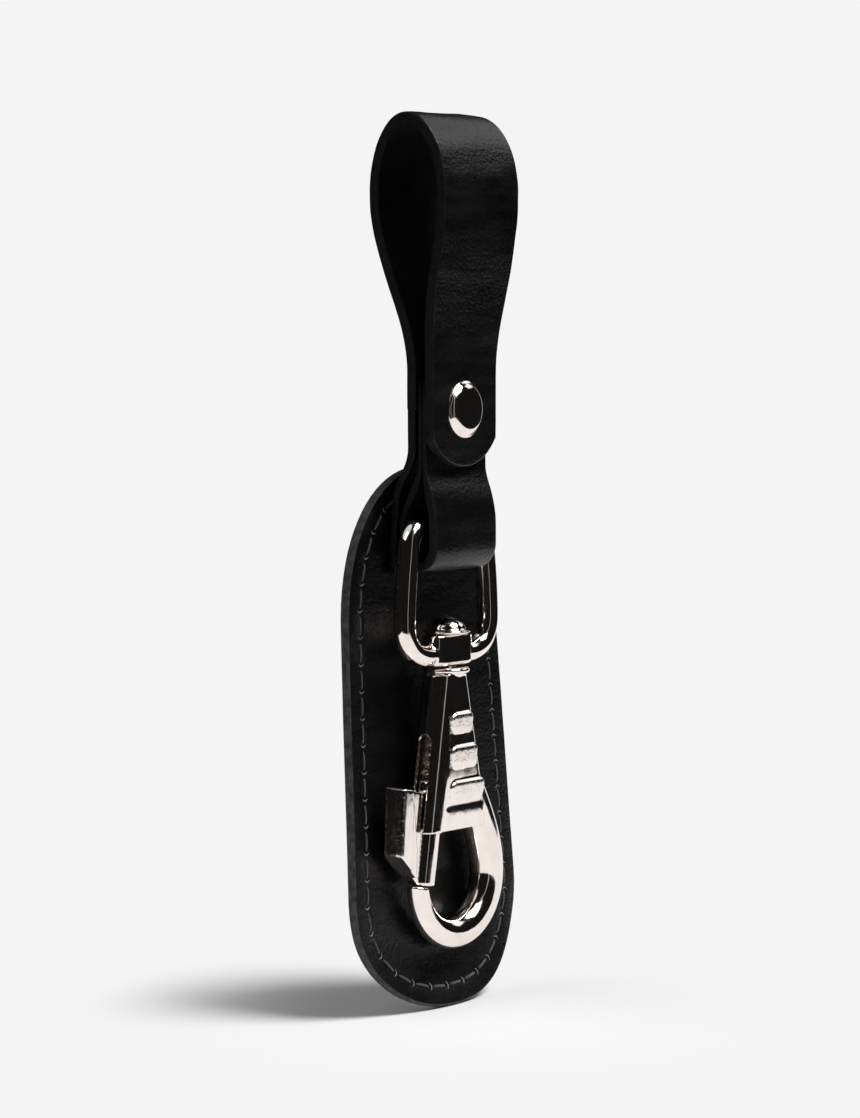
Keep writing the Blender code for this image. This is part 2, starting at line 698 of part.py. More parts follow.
def hook_mesh():
    """The open hook: down the right arm, round the bottom and up to the tip."""
    arm, tip = HOOK_ARM_DIAMETER / 2, HOOK_TIP_DIAMETER / 2
    right = HOOK_CENTRE_X + HOOK_RADIUS
    root_x = body_right(HOOK_ROOT_SHARE) - arm
    root_z = BODY_TOP - BODY_HEIGHT * HOOK_ROOT_SHARE
    path = []
    for share in np.linspace(0, 1, 7)[:-1]:
        x = root_x + (right - root_x) * blend_share(share) ** HOOK_SWEEP_POWER
        path.append((x, root_z + (-HOOK_CENTRE_DROP - root_z) * share))
    end = math.pi + math.asin((HOOK_TIP_DROP - HOOK_TIP_TRIM) / HOOK_RADIUS)
    for angle in np.linspace(2 * math.pi, end, 16):
        x = HOOK_CENTRE_X + HOOK_RADIUS * math.cos(angle)
        path.append((x, -HOOK_CENTRE_DROP + HOOK_RADIUS * math.sin(angle)))
    points = [(x, 0, z) for x, z in path]
    radii = []
    for i in range(len(points)):
        share = blend_share((i - len(points) / 2) / (len(points) / 2))
        radii.append(arm + (tip - arm) * share)
    mesh = tube_mesh("hook_arm", points, radii, 4)
    flatten = Matrix.Diagonal((1, HOOK_FLATTEN_SHARE, 1, 1))
    mesh.transform(Matrix.Translation((0, CHAIN_BACK, 0)) @ flatten)
    return mesh


def make_hook():
    item = add_object("hook_body", body_mesh(), NICKEL)
    centre = Matrix.Translation((0, CHAIN_BACK, 0))
    collar = turned_object("collar", collar_profile(), SNAP_STEPS, cutter=True)
    collar.matrix_world = centre
    combine_object(item, collar, "UNION")
    combine(item, hook_mesh(), "UNION")
    tip = cylinder_mesh("tip_trim", HOOK_TIP_DIAMETER, 0, 3 * HOOK_TIP_TRIM, bore_frame(HOOK_TIP_Z))
    combine(item, tip, "DIFFERENCE")
    front = CHAIN_BACK - BARREL_RADIUS
    for number, (drop, height) in enumerate(zip(RIB_DROPS, RIB_HEIGHTS)):
        top = BODY_TOP - drop
        right = body_right((drop + height / 2) / BODY_HEIGHT) - BORE_WALL / 2
        low = (-RIB_LEFT, front - RIB_RISE, top - height)
        high = (right, front + BARREL_RADIUS / 2, top)
        combine(item, box_mesh(f"rib_{number}", low, high, RIB_RISE), "UNION")
    lower = -OVERRUN - BORE_WALL
    bore = cylinder_mesh("bore", BORE_DIAMETER / 2, lower, BORE_DEPTH, bore_frame(BODY_FOOT))
    combine(item, bore, "DIFFERENCE")
    slot = box_mesh(
        "slot",
        (-BARREL_RADIUS - OVERRUN, -SLOT_WIDTH / 2, lower),
        (0, SLOT_WIDTH / 2, SLOT_HEIGHT - SLOT_WIDTH / 2),
        0, bore_frame(BODY_FOOT),
    )
    combine(item, slot, "DIFFERENCE")
    turn = Matrix.Translation((0, 0, SLOT_HEIGHT - SLOT_WIDTH / 2)) @ Matrix.Rotation(
        math.radians(-90), 4, "Y"
    )
    end = cylinder_mesh(
        "slot_end", SLOT_WIDTH / 2, 0, BARREL_RADIUS + OVERRUN, bore_frame(BODY_FOOT) @ turn, 16
    )
    combine(item, end, "DIFFERENCE")
    hole = cylinder_mesh(
        "rivet_hole", RIVET_DIAMETER / 2 + GAP, BODY_TOP - RIVET_DEPTH - GAP,
        COLLAR_TOP + OVERRUN, centre,
    )
    return combine(item, hole, "DIFFERENCE")


def collar_profile():
    edge = COLLAR_HEIGHT / 3
    radius = COLLAR_DIAMETER / 2
    return [
        (0, COLLAR_TOP), (radius - edge, COLLAR_TOP), (radius, COLLAR_TOP - edge),
        (radius, BODY_TOP + edge), (radius - edge, BODY_TOP), (radius - edge, BODY_TOP - edge),
        (0, BODY_TOP - edge),
    ]


def make_bolt():
    """Round bolt with a thin web through the slot and a thicker thumb wing outside it."""
    frame = bore_frame(BOLT_FOOT)
    radius = BOLT_DIAMETER / 2
    edge = WING_ROUND
    profile = [
        (0, BOLT_LENGTH), (radius - edge, BOLT_LENGTH), (radius, BOLT_LENGTH - edge),
        (radius, edge), (radius - edge, 0), (0, 0),
    ]
    item = turned_object("gate_bolt", profile, SNAP_STEPS, NICKEL)
    item.matrix_world = frame
    up = frame @ ALONG_Y
    inner_foot = WING_INNER - WING_DRAFT
    web = [
        (0, edge), (-radius, edge), (-inner_foot - edge, WING_INNER_FOOT + edge),
        (-WING_INNER - edge, WING_TOP - edge), (0, WING_TOP - edge),
    ]
    combine(item, plate_mesh("bolt_web", [web], WEB_THICKNESS, up), "UNION")
    wing = [
        (-inner_foot, WING_INNER_FOOT), (-WING_INNER, WING_TOP), (-WING_OUTER, WING_TOP),
        (-WING_OUTER + WING_DRAFT, WING_FOOT),
    ]
    return combine(item, plate_mesh("bolt_wing", [wing], WING_THICKNESS, up, WING_ROUND), "UNION")


def make_spring():
    """Compression spring between the bolt's top and the bore's end."""
    radius = (SPRING_DIAMETER - SPRING_WIRE) / 2
    low = BOLT_LENGTH * math.cos(BORE_ANGLE)
    foot = low + (BOLT_FOOT - BODY_FOOT) + GAP + SPRING_WIRE / 2
    top = BORE_DEPTH - GAP - SPRING_WIRE / 2
    count = SPRING_TURNS * TURN_POINTS
    frame = bore_frame(BODY_FOOT)
    points = []
    for i in range(count + 1):
        angle = 2 * math.pi * i / TURN_POINTS
        rise = foot + (top - foot) * i / count
        points.append(frame @ Vector((radius * math.cos(angle), radius * math.sin(angle), rise)))
    pitch = (top - foot) / SPRING_TURNS
    print("least gap between the spring's turns, mm:", round((pitch - SPRING_WIRE) / MM, 2))
    mesh = tube_mesh("gate_spring", points, [SPRING_WIRE / 2] * len(points), 1)
    return add_object("gate_spring", mesh, STEEL)


def build():
    make_belt_loop()
    flap = make_flap()
    make_hanger()
    cap, socket = make_snap()
    tail = make_tail()
    front = guard_layer("guard_front", 0, GRAIN)
    back = guard_layer("guard_back", GUARD_LEATHER + GAP, LINING)
    eye = make_eye()
    rivet = make_rivet()
    hook = make_hook()
    bolt = make_bolt()
    spring = make_spring()
    hinge_y = tail_y(-TAIL_SPLIT) + STRAP_THICKNESS / 2
    flap_hinge = joint_empty("flap_hinge", (0, APEX_BACK, STRAP_THICKNESS))
    guard_hinge = joint_empty("guard_hinge", (0, hinge_y, -TAIL_SPLIT))
    eye_hinge = joint_empty("eye_hinge", (0, CHAIN_BACK, -EYE_DROP))
    swivel = joint_empty("swivel_axis", (0, CHAIN_BACK, COLLAR_TOP))
    gate = joint_empty("gate_axis", bore_frame(BOLT_FOOT).translation)
    carry(flap_hinge, flap, cap, socket)
    carry(guard_hinge, tail, front, back)
    carry(eye_hinge, eye, swivel)
    carry(swivel, rivet, hook, spring, gate)
    carry(gate, bolt)
    for item in PARTS.objects:
        if item.type == "MESH":
            item.data.shade_smooth()
            item.data.set_sharp_from_angle(angle=math.radians(35))
    bpy.context.view_layer.update()


build()
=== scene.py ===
"""Looks of the belt-loop key holder: black leather, nickel swivel snap, pale studio.

Leather and metal are made in millimetres and scaled by MM. The studio and the bumps are in metres.
"""
import math

import bmesh
import bpy
import numpy as np
from mathutils import Matrix, Vector, noise
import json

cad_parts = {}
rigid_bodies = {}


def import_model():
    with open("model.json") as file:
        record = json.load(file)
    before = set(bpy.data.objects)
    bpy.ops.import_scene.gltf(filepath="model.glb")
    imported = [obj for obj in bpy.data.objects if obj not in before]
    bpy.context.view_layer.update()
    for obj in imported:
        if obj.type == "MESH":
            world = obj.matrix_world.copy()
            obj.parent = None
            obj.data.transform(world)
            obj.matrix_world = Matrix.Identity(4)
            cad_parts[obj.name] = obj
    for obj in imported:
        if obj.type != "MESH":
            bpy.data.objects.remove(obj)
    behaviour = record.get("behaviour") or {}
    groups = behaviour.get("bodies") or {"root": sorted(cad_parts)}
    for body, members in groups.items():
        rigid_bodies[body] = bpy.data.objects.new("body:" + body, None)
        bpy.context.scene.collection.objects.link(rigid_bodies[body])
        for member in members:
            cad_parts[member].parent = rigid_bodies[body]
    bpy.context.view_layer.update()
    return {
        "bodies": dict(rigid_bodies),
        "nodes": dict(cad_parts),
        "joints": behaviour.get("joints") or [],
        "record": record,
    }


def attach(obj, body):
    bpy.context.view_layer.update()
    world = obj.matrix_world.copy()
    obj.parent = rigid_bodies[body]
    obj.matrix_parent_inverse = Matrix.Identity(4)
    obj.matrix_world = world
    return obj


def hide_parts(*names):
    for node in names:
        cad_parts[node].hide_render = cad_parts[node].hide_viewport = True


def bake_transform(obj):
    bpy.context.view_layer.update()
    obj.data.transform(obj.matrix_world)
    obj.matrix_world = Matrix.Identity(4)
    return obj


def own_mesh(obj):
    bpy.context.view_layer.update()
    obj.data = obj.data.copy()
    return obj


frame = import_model()

MM = 0.001

# ---------------------------------------------------------------- camera, floor, light
VIEW = Vector((0.7986, 0.6018, 0.0))
ACROSS = Vector((VIEW.y, -VIEW.x, 0))
UP = Vector((0, 0, 1))
ELEVATION = math.radians(4.0)
DISTANCE = 645 * MM
TARGET = Vector((-2.4, 3.1, -77.1)) * MM
SENSOR, LENS = 36, 117
BACKGROUND = (0.905, 0.905, 0.905, 1)
# The paper's outline as (right, away) of the object, seen from the camera.
PAPER = ((-0.14, -0.2), (0.2, -0.2), (0.26, -0.05), (0.272, 0.14), (1.9, 12), (-1.9, 12))
PAPER_WHITE = (0.90, 0.90, 0.90)
PAPER_FADE = (0.1585, 0.172)
FLOOR_Z = -157.5 * MM
WORLD_LIGHT = 0.14
ROOM_DARK = 0.009
# Direction (right, up, towards the camera), half width, half height and strength.
SOFT_BOXES = (
    ((0.45, 0.15, -0.89), 0.10, 0.60, 1.1),
    ((0.70, 0.54, -0.46), 0.22, 0.16, 1.4),
    ((0.557, 0.1, 0.827), 0.02, 0.60, 0.8),
    ((-0.75, 0.75, 0.6), 0.20, 0.28, 2.0),
    ((0.55, 0.75, 0.3), 0.26, 0.26, 3.0),
)
BOX_BLUR = 0.05
# Name, strength, angle in degrees, direction (right, up, towards the camera).
LAMPS = (("key", 2.9, 28, (0.62, 1.0, 0.12)), ("fill", 0.5, 60, (-0.7, 1.0, 0.3)))
LAMP_GLOSS = 0.05


def aim(item, toward):
    """Turns a camera or lamp that stands in the direction toward to face the object."""
    item.rotation_euler = (-toward).to_track_quat("-Z", "Y").to_euler()


def make_camera():
    data = bpy.data.cameras.new("camera")
    data.sensor_width = SENSOR
    data.lens = LENS
    data.clip_start = 0.01
    data.clip_end = 20
    cam = bpy.data.objects.new("camera", data)
    back = -VIEW * math.cos(ELEVATION) + UP * math.sin(ELEVATION)
    cam.location = TARGET + back * DISTANCE
    aim(cam, back)
    bpy.context.scene.collection.objects.link(cam)
    bpy.context.scene.camera = cam


def from_camera(right, up, toward):
    """A direction given as seen by the camera: right, up and towards the viewer."""
    return ACROSS * right + UP * up - VIEW * toward


def new_node(tree, kind, **values):
    """A node whose named inputs, or else its properties, get the values."""
    node = tree.nodes.new(kind)
    for name, value in values.items():
        if name in node.inputs:
            node.inputs[name].default_value = value
        else:
            setattr(node, name, value)
    return node


def feed(tree, socket, value):
    """Links an output to the socket, or sets a number on it."""
    if isinstance(value, bpy.types.NodeSocket):
        tree.links.new(value, socket)
    else:
        socket.default_value = value


def math_of(tree, operation, *values):
    node = new_node(tree, "ShaderNodeMath", operation=operation)
    for socket, value in zip(node.inputs, values):
        feed(tree, socket, value)
    return node.outputs[0]


def mix_of(tree, share, first, second):
    node = new_node(tree, "ShaderNodeMixShader")
    for socket, value in zip(node.inputs, (share, first.outputs[0], second.outputs[0])):
        feed(tree, socket, value)
    return node


def fit(tree, value, low, high, from_low, from_high, kind="LINEAR"):
    """The value's range from_low to from_high mapped to low and high."""
    limits = {"From Min": from_low, "From Max": from_high, "To Min": low, "To Max": high}
    node = new_node(tree, "ShaderNodeMapRange", interpolation_type=kind, **limits)
    feed(tree, node.inputs["Value"], value)
    return node.outputs["Result"]


def soft_box(tree, direction, wide, tall, strength):
    """A glowing rectangle of the glossy surroundings, at a fixed direction in the room."""
    direction = Vector(direction).normalized()
    side = direction.cross(UP).normalized()
    coords = new_node(tree, "ShaderNodeTexCoord")
    value = None
    for axis, low, high in (
        (side, wide + BOX_BLUR, wide - BOX_BLUR),
        (side.cross(direction), tall + BOX_BLUR, tall - BOX_BLUR),
        (direction, 0.0, 2 * BOX_BLUR),
    ):
        dot = new_node(tree, "ShaderNodeVectorMath", operation="DOT_PRODUCT")
        dot.inputs[1].default_value = axis
        feed(tree, dot.inputs[0], coords.outputs["Generated"])
        reach = dot.outputs["Value"]
        if axis is not direction:
            reach = math_of(tree, "ABSOLUTE", reach)
        edge = fit(tree, reach, 0.0, 1.0, low, high, "SMOOTHSTEP")
        value = edge if value is None else math_of(tree, "MULTIPLY", value, edge)
    return math_of(tree, "MULTIPLY", value, strength)


def make_world():
    """White to the camera, even grey light, and a dark room with soft boxes for reflections."""
    world = bpy.data.worlds.new("studio")
    bpy.context.scene.world = world
    world.use_nodes = True
    tree = world.node_tree
    tree.nodes.clear()
    path = new_node(tree, "ShaderNodeLightPath")
    seen = new_node(tree, "ShaderNodeBackground", Color=BACKGROUND)
    even = new_node(tree, "ShaderNodeBackground", Strength=WORLD_LIGHT)
    room = new_node(tree, "ShaderNodeBackground")
    total = None
    for direction, wide, tall, strength in SOFT_BOXES:
        box = soft_box(tree, from_camera(*direction), wide, tall, strength)
        total = box if total is None else math_of(tree, "ADD", total, box)
    feed(tree, room.inputs["Strength"], math_of(tree, "ADD", total, ROOM_DARK))
    gloss = mix_of(tree, path.outputs["Is Glossy Ray"], even, room)
    mix = mix_of(tree, path.outputs["Is Camera Ray"], gloss, seen)
    out = new_node(tree, "ShaderNodeOutputWorld")
    feed(tree, out.inputs[0], mix.outputs[0])


def floor_material():
    """White paper that fades into the background away from the object."""
    material, shader = new_material("floor", PAPER_WHITE, 1.0, 0.0)
    tree = material.node_tree
    size = new_node(tree, "ShaderNodeVectorMath", operation="LENGTH")
    feed(tree, size.inputs[0], new_node(tree, "ShaderNodeTexCoord").outputs["Object"])
    fade = fit(tree, size.outputs["Value"], 0.0, 1.0, *PAPER_FADE, "SMOOTHSTEP")
    path = new_node(tree, "ShaderNodeLightPath")
    glow = new_node(tree, "ShaderNodeEmission", Color=BACKGROUND)
    share = math_of(tree, "MULTIPLY", fade, path.outputs["Is Camera Ray"])
    mix = mix_of(tree, share, shader, glow)
    feed(tree, tree.nodes["Material Output"].inputs["Surface"], mix.outputs[0])
    return material


def make_studio():
    scene = bpy.context.scene
    scene.view_settings.view_transform = "Standard"
    make_world()
    for name, energy, angle, direction in LAMPS:
        data = bpy.data.lights.new(name, "SUN")
        data.energy = energy
        data.angle = math.radians(angle)
        data.specular_factor = LAMP_GLOSS
        lamp = bpy.data.objects.new(name, data)
        aim(lamp, from_camera(*direction).normalized())
        scene.collection.objects.link(lamp)
    mesh = bpy.data.meshes.new("floor")
    places = [ACROSS * right + VIEW * away for right, away in PAPER]
    mesh.from_pydata([(x, y, FLOOR_Z) for x, y, _ in places], [], [tuple(range(len(PAPER)))])
    floor = place_object("floor", mesh, floor_material())


# ---------------------------------------------------------------- materials
def new_material(name, colour, roughness, specular=0.5, metallic=0.0):
    material = bpy.data.materials.new(name)
    material.use_nodes = True
    shader = material.node_tree.nodes["Principled BSDF"]
    shader.inputs["Base Color"].default_value = (*colour, 1)
    shader.inputs["Roughness"].default_value = roughness
    shader.inputs["Specular IOR Level"].default_value = specular
    shader.inputs["Metallic"].default_value = metallic
    return material, shader


def object_coords(tree, scale=(1, 1, 1)):
    mapping = new_node(tree, "ShaderNodeMapping", Scale=scale)
    feed(tree, mapping.inputs["Vector"], new_node(tree, "ShaderNodeTexCoord").outputs["Object"])
    return mapping.outputs["Vector"]


def noise_of(tree, vector, scale, detail=4.0, roughness=0.55):
    node = new_node(tree, "ShaderNodeTexNoise", Scale=scale, Detail=detail, Roughness=roughness)
    feed(tree, node.inputs["Vector"], vector)
    return node.outputs["Fac"]


def ramp(tree, value, *stops):
    node = new_node(tree, "ShaderNodeValToRGB")
    items = node.color_ramp.elements
    while len(items) < len(stops):
        items.new(0.5)
    for item, (place, colour) in zip(items, stops):
        item.position = place
        item.color = (*colour, 1)
    feed(tree, node.inputs["Fac"], value)
    return node.outputs["Color"]


def bump(tree, height, distance, strength=1.0, under=None):
    node = new_node(tree, "ShaderNodeBump", Strength=strength, Distance=distance)
    feed(tree, node.inputs["Height"], height)
    if under:
        feed(tree, node.inputs["Normal"], under)
    return node.outputs["Normal"]


def shade(colour, share):
    return tuple(share * c for c in colour)


def grain_leather(name, wrinkle, gloss):
    """Black top grain: fine pores, crosswise bend wrinkles, a soft uneven gloss."""
    material, shader = new_material(name, (0.012, 0.012, 0.013), 0.4, gloss)
    tree = material.node_tree
    plain = object_coords(tree)
    tone = ramp(tree, noise_of(tree, plain, 90, 5), (0.3, (0.0016,) * 3),
                (0.62, (0.0035,) * 3), (0.8, (0.007,) * 3))
    pores = new_node(tree, "ShaderNodeTexVoronoi", Scale=1900, feature="SMOOTH_F1")
    feed(tree, pores.inputs["Vector"], plain)
    cells = bump(tree, pores.outputs["Distance"], 0.0001, 0.7)
    folds = noise_of(tree, object_coords(tree, (70, 420, 420)), 1.0, 6, 0.62)
    creases = bump(tree, folds, 0.00022 * wrinkle, 0.8, cells)
    soft = noise_of(tree, plain, 260, 3)
    feed(tree, shader.inputs["Base Color"], tone)
    feed(tree, shader.inputs["Normal"], bump(tree, soft, 0.00012, 0.6, creases))
    feed(tree, shader.inputs["Roughness"], fit(tree, folds, 0.26, 0.44, 0.3, 0.7))
    return material


def flesh_leather(name, colour):
    """Matte fibrous side of dyed leather."""
    material, shader = new_material(name, colour, 0.85, 0.12)
    tree = material.node_tree
    plain = object_coords(tree)
    fibre = noise_of(tree, plain, 1600, 6, 0.7)
    tone = noise_of(tree, plain, 240, 4)
    colours = ramp(tree, tone, (0.3, shade(colour, 0.6)), (0.7, shade(colour, 1.9)))
    feed(tree, shader.inputs["Base Color"], colours)
    feed(tree, shader.inputs["Normal"], bump(tree, fibre, 0.00018, 0.8))
    return material


def cut_edge(name, colour):
    """Dyed cut edge: layered fibres, matte, paler where it is worn."""
    material, shader = new_material(name, colour, 0.7, 0.2)
    tree = material.node_tree
    tone = noise_of(tree, object_coords(tree), 700, 5, 0.65)
    colours = ramp(tree, tone, (0.32, shade(colour, 0.45)), (0.68, shade(colour, 1.7)))
    feed(tree, shader.inputs["Base Color"], colours)
    feed(tree, shader.inputs["Normal"], bump(tree, tone, 0.00012, 0.7))
    return material


def nickel(name, roughness, pits=0.0, colour=(0.97, 0.885, 0.835)):
    """Polished nickel plate over a casting: soft waviness, fine scuffs, shallow pits."""
    material, shader = new_material(name, colour, roughness, metallic=1.0)
    tree = material.node_tree
    plain = object_coords(tree)
    normal = bump(tree, noise_of(tree, plain, 210, 2), 0.00012, 0.2)
    if pits:
        dents = fit(tree, noise_of(tree, plain, 950, 3, 0.6), 0, 1, 0.42, 0.60)
        normal = bump(tree, dents, 0.00004 * pits, 0.5, normal)
    scuffs = noise_of(tree, object_coords(tree, (1, 1, 0.2)), 1500, 5, 0.7)
    dullness = fit(tree, scuffs, roughness * 0.5, roughness * 1.5, 0.35, 0.75)
    tone = noise_of(tree, plain, 320, 4)
    colours = ramp(tree, tone, (0.35, shade(colour, 0.92)), (0.6, colour))
    feed(tree, shader.inputs["Base Color"], colours)
    feed(tree, shader.inputs["Normal"], normal)
    feed(tree, shader.inputs["Roughness"], dullness)
    return material


def thread_material():
    """Twisted waxed thread, dark grey."""
    material, shader = new_material("thread", (0.035, 0.035, 0.036), 0.6)
    shader.inputs["Sheen Weight"].default_value = 0.3
    tree = material.node_tree
    twist = new_node(tree, "ShaderNodeTexWave", Scale=900, Distortion=1.5, Detail=2)
    feed(tree, twist.inputs["Vector"], object_coords(tree))
    wave = twist.outputs["Fac"]
    colours = ramp(tree, wave, (0.2, (0.011,) * 3), (0.8, (0.03,) * 3))
    feed(tree, shader.inputs["Base Color"], colours)
    feed(tree, shader.inputs["Normal"], bump(tree, wave, 0.00006, 0.8))
    return material


# ---------------------------------------------------------------- mesh helpers
def place_object(name, mesh, *materials):
    item = bpy.data.objects.new(name, mesh)
    bpy.context.scene.collection.objects.link(item)
    for material in materials:
        mesh.materials.append(material)
    return item


def mesh_of(name, bm):
    """The geometry, made in millimetres, as a mesh in metres. It uses bm up."""
    bm.transform(Matrix.Scale(MM, 4))
    mesh = bpy.data.meshes.new(name)
    bm.to_mesh(mesh)
    bm.free()
    return mesh


def finish_bmesh(name, bm, sharp):
    """Welds, faces outwards, scales from millimetres, smooths."""
    bmesh.ops.remove_doubles(bm, verts=bm.verts, dist=1e-4)
    bmesh.ops.dissolve_degenerate(bm, dist=1e-5, edges=bm.edges)
    bmesh.ops.recalc_face_normals(bm, faces=bm.faces)
    if bm.calc_volume(signed=True) < 0:
        bmesh.ops.reverse_faces(bm, faces=bm.faces)
    mesh = mesh_of(name, bm)
    mesh.shade_smooth()
    mesh.set_sharp_from_angle(angle=math.radians(sharp))
    return mesh


def band(bm, first, second, slot=0):
    """Quads between two closed rings of vertices."""
    for k in range(len(first)):
        m = (k + 1) % len(first)
        bm.faces.new((first[k], first[m], second[m], second[k])).material_index = slot


def skin_rings(bm, rings, closed=False, slot=0):
    """Quads between rings of points; the ends are filled unless the rings close."""
    made = [[bm.verts.new(p) for p in ring] for ring in rings]
    for first, second in zip(made, made[1:] + made[:1] if closed else made[1:]):
        band(bm, first, second, slot)
    if not closed:
        bm.faces.new(made[0][::-1]).material_index = slot
        bm.faces.new(made[-1]).material_index = slot


def smooth_share(value):
    value = min(max(value, 0.0), 1.0)
    return value * value * (3 - 2 * value)


def strip_edges(across, along, half):
    """Top, bottom, left and right edge of a strip whose half width varies along it."""
    return (
        [(a * half[0], along[0]) for a in across], [(a * half[-1], along[-1]) for a in across],
        [(-w, s) for w, s in zip(half, along)], [(w, s) for w, s in zip(half, along)],
    )


def border_of(edges):
    """The closed outline that four edges make, from the top's left end round to the left."""
    top, bottom, left, right = (np.array(edge, dtype=float) for edge in edges)
    return np.vstack((top[:-1], right[:-1], bottom[:0:-1], left[:0:-1]))


def inset_loops(border, depths):
    """The closed border moved inwards by each depth, along its own normals."""
    tangent = np.roll(border, -1, axis=0) - np.roll(border, 1, axis=0)
    tangent /= np.linalg.norm(tangent, axis=1)[:, None]
    inward = np.column_stack((-tangent[:, 1], tangent[:, 0]))
    if ((border.mean(axis=0) - border) * inward).sum() < 0:
        inward = -inward
    return [border + inward * depth for depth in depths]


def coons(top, bottom, left, right):
    """Grid filled between four edges; rows run from top to bottom."""
    v = np.linspace(0, 1, len(left))[:, None, None]
    u = np.linspace(0, 1, len(top))[None, :, None]
    along = (1 - v) * top[None] + v * bottom[None]
    across = (1 - u) * left[:, None] + u * right[:, None]
    corner = (
        (1 - u) * (1 - v) * top[0] + u * (1 - v) * top[-1]
        + (1 - u) * v * bottom[0] + u * v * bottom[-1]
    )
    return along + across - corner


def leather_sheet(name, edges, thickness, place, rounding, materials, groove=(),
                  inner_rounding=None):
    """A leather piece cut flat to four edges, its rim rounded, then bent by place(x, s, h).

    groove lists (inset, sink) for a seam line pressed in along the outer side's rim.
    Faces get slot 0 on the outer side, 1 on the cut edge and 2 on the inner side.
    """
    border = border_of(edges)
    columns, rows = len(edges[0]) - 1, len(edges[2]) - 1
    half = thickness / 2
    bm = bmesh.new()

    def side(sign, corner, extra):
        arc = [(corner * (1 - math.cos(a)), corner * (1 - math.sin(a)))
               for a in np.linspace(0, math.pi / 2, 4)]
        profile = arc + list(extra)
        loops = inset_loops(border, [inset for inset, _ in profile])
        rings = [[bm.verts.new(place(x, s, sign * (half - sink))) for x, s in loop]
                 for loop, (_, sink) in zip(loops, profile)]
        inner, last, depth = loops[-1], rings[-1], profile[-1][1]
        foot = columns + rows
        grid = coons(inner[:columns + 1], inner[foot:foot + columns + 1][::-1],
                     np.vstack((inner[foot + columns:], inner[:1]))[::-1],
                     inner[columns:foot + 1])
        verts = [[None] * (columns + 1) for _ in range(rows + 1)]
        for j in range(columns + 1):
            verts[0][j] = last[j]
            verts[rows][j] = last[(foot + columns - j) % len(last)]
        for i in range(rows + 1):
            verts[i][columns] = last[(columns + i) % len(last)]
            verts[i][0] = last[(2 * foot - i) % len(last)]
        for i in range(1, rows):
            for j in range(1, columns):
                verts[i][j] = bm.verts.new(place(*grid[i, j], sign * (half - depth)))
        slot = 0 if sign > 0 else 2
        for upper, lower in zip(verts, verts[1:]):
            for j in range(columns):
                corners = (upper[j], upper[j + 1], lower[j + 1], lower[j])
                bm.faces.new(corners).material_index = slot
        for number, (outer, near) in enumerate(zip(rings, rings[1:])):
            band(bm, outer, near, 1 if number < 2 else slot)
        return rings[0]

    front = side(1, rounding, groove)
    back = side(-1, rounding if inner_rounding is None else inner_rounding, ())
    band(bm, front, back, 1)
    return place_object(name, finish_bmesh(name, bm, 60), *materials)


class Path:
    """A smooth path in the YZ plane, with a point and an outward normal at each length."""

    def __init__(self, points, reverse=False):
        points = np.array(points, dtype=float)
        step = np.linalg.norm(np.diff(points, axis=0), axis=1)
        coarse = np.concatenate(([0], np.cumsum(step)))
        self.length = coarse[-1]
        self.s = np.linspace(0, self.length, 1200)
        self.y, self.z = (self._soft(np.interp(self.s, coarse, points[:, k])) for k in (0, 1))
        slope = np.gradient(np.column_stack((self.y, self.z)), self.s, axis=0)
        slope /= np.linalg.norm(slope, axis=1)[:, None]
        sign = -1 if reverse else 1
        self.ny, self.nz = slope[:, 1] * sign, -slope[:, 0] * sign

    @staticmethod
    def _soft(values):
        kernel = np.hanning(25)
        kernel /= kernel.sum()
        pad = len(kernel) // 2
        before = 2 * values[0] - values[pad:0:-1]
        after = 2 * values[-1] - values[-2:-pad - 2:-1]
        return np.convolve(np.concatenate((before, values, after)), kernel, "valid")

    def at(self, s):
        return tuple(float(np.interp(s, self.s, v)) for v in (self.y, self.z, self.ny, self.nz))

    def place(self, x, s, h):
        y, z, ny, nz = self.at(s)
        return Vector((x, y + ny * h, z + nz * h))


# ---------------------------------------------------------------- leather pieces
# Depth of the metal's middle, and of the strap's two sides behind and before the origin.
CHAIN_Y, STACK = 1.2, 2.05
APEX_BACK, WIDEST, DROP = 2.4, 12.5, 44.5
SEAM_Z = -50.5
FLAP_END, FLAP_ARC = 60.7, 5.0
STRAP_THICKNESS, STRAP_ROUNDING = 1.98, 0.34
STRAP_HALF, STRAP_TAPER = 10.9, 1.5
# Lengths along the loop's path: the loop piece's start and the rear piece's lap inside it,
# the crown's middle and how far its wrinkles reach to each side.
REAR_SEAM, REAR_LAP = 31.0, 0.9
CROWN_S, CROWN_REACH = 63.0, 34.0


def half_loop(side_y, bulge_y, steps=24):
    """Centre line (y, z) of one half of the loop, from its apex down to the press stud."""
    path = []
    for angle in np.linspace(0, math.pi / 2, steps):
        path.append((
            APEX_BACK + (bulge_y - APEX_BACK) * math.sin(angle),
            0.85 - (0.85 + WIDEST) * (1 - math.cos(angle)),
        ))
    for share in np.linspace(0, 1, steps)[1:]:
        fall = (0.5 * (1 + math.cos(math.pi * share))) ** 1.2
        path.append((side_y + (bulge_y - side_y) * fall, -WIDEST - (DROP - WIDEST) * share))
    return path


def strap_half_width(z):
    return STRAP_HALF - STRAP_TAPER * smooth_share((-z - 26) / (DROP - 26))


def guard_face(z):
    """Y of the guard's front face at height z."""
    rise = max(z + 91.7, 0) / 31.0
    fall = max(-z - 143.0, 0) / 14.3
    return 7.25 + 0.056 * (z + 91.7) - 3.0 * rise ** 2 - 3.3 * fall ** 2


def tail_centre(z):
    share = smooth_share((-z - 57.0) / 9.0)
    return STACK + (guard_face(z) - 0.95 - STACK) * share


def ripple(x, s, seed, height, size_x, size_s):
    """Gentle unevenness of hand-cut leather."""
    return height * noise.noise(Vector((x / size_x, s / size_s, seed)))


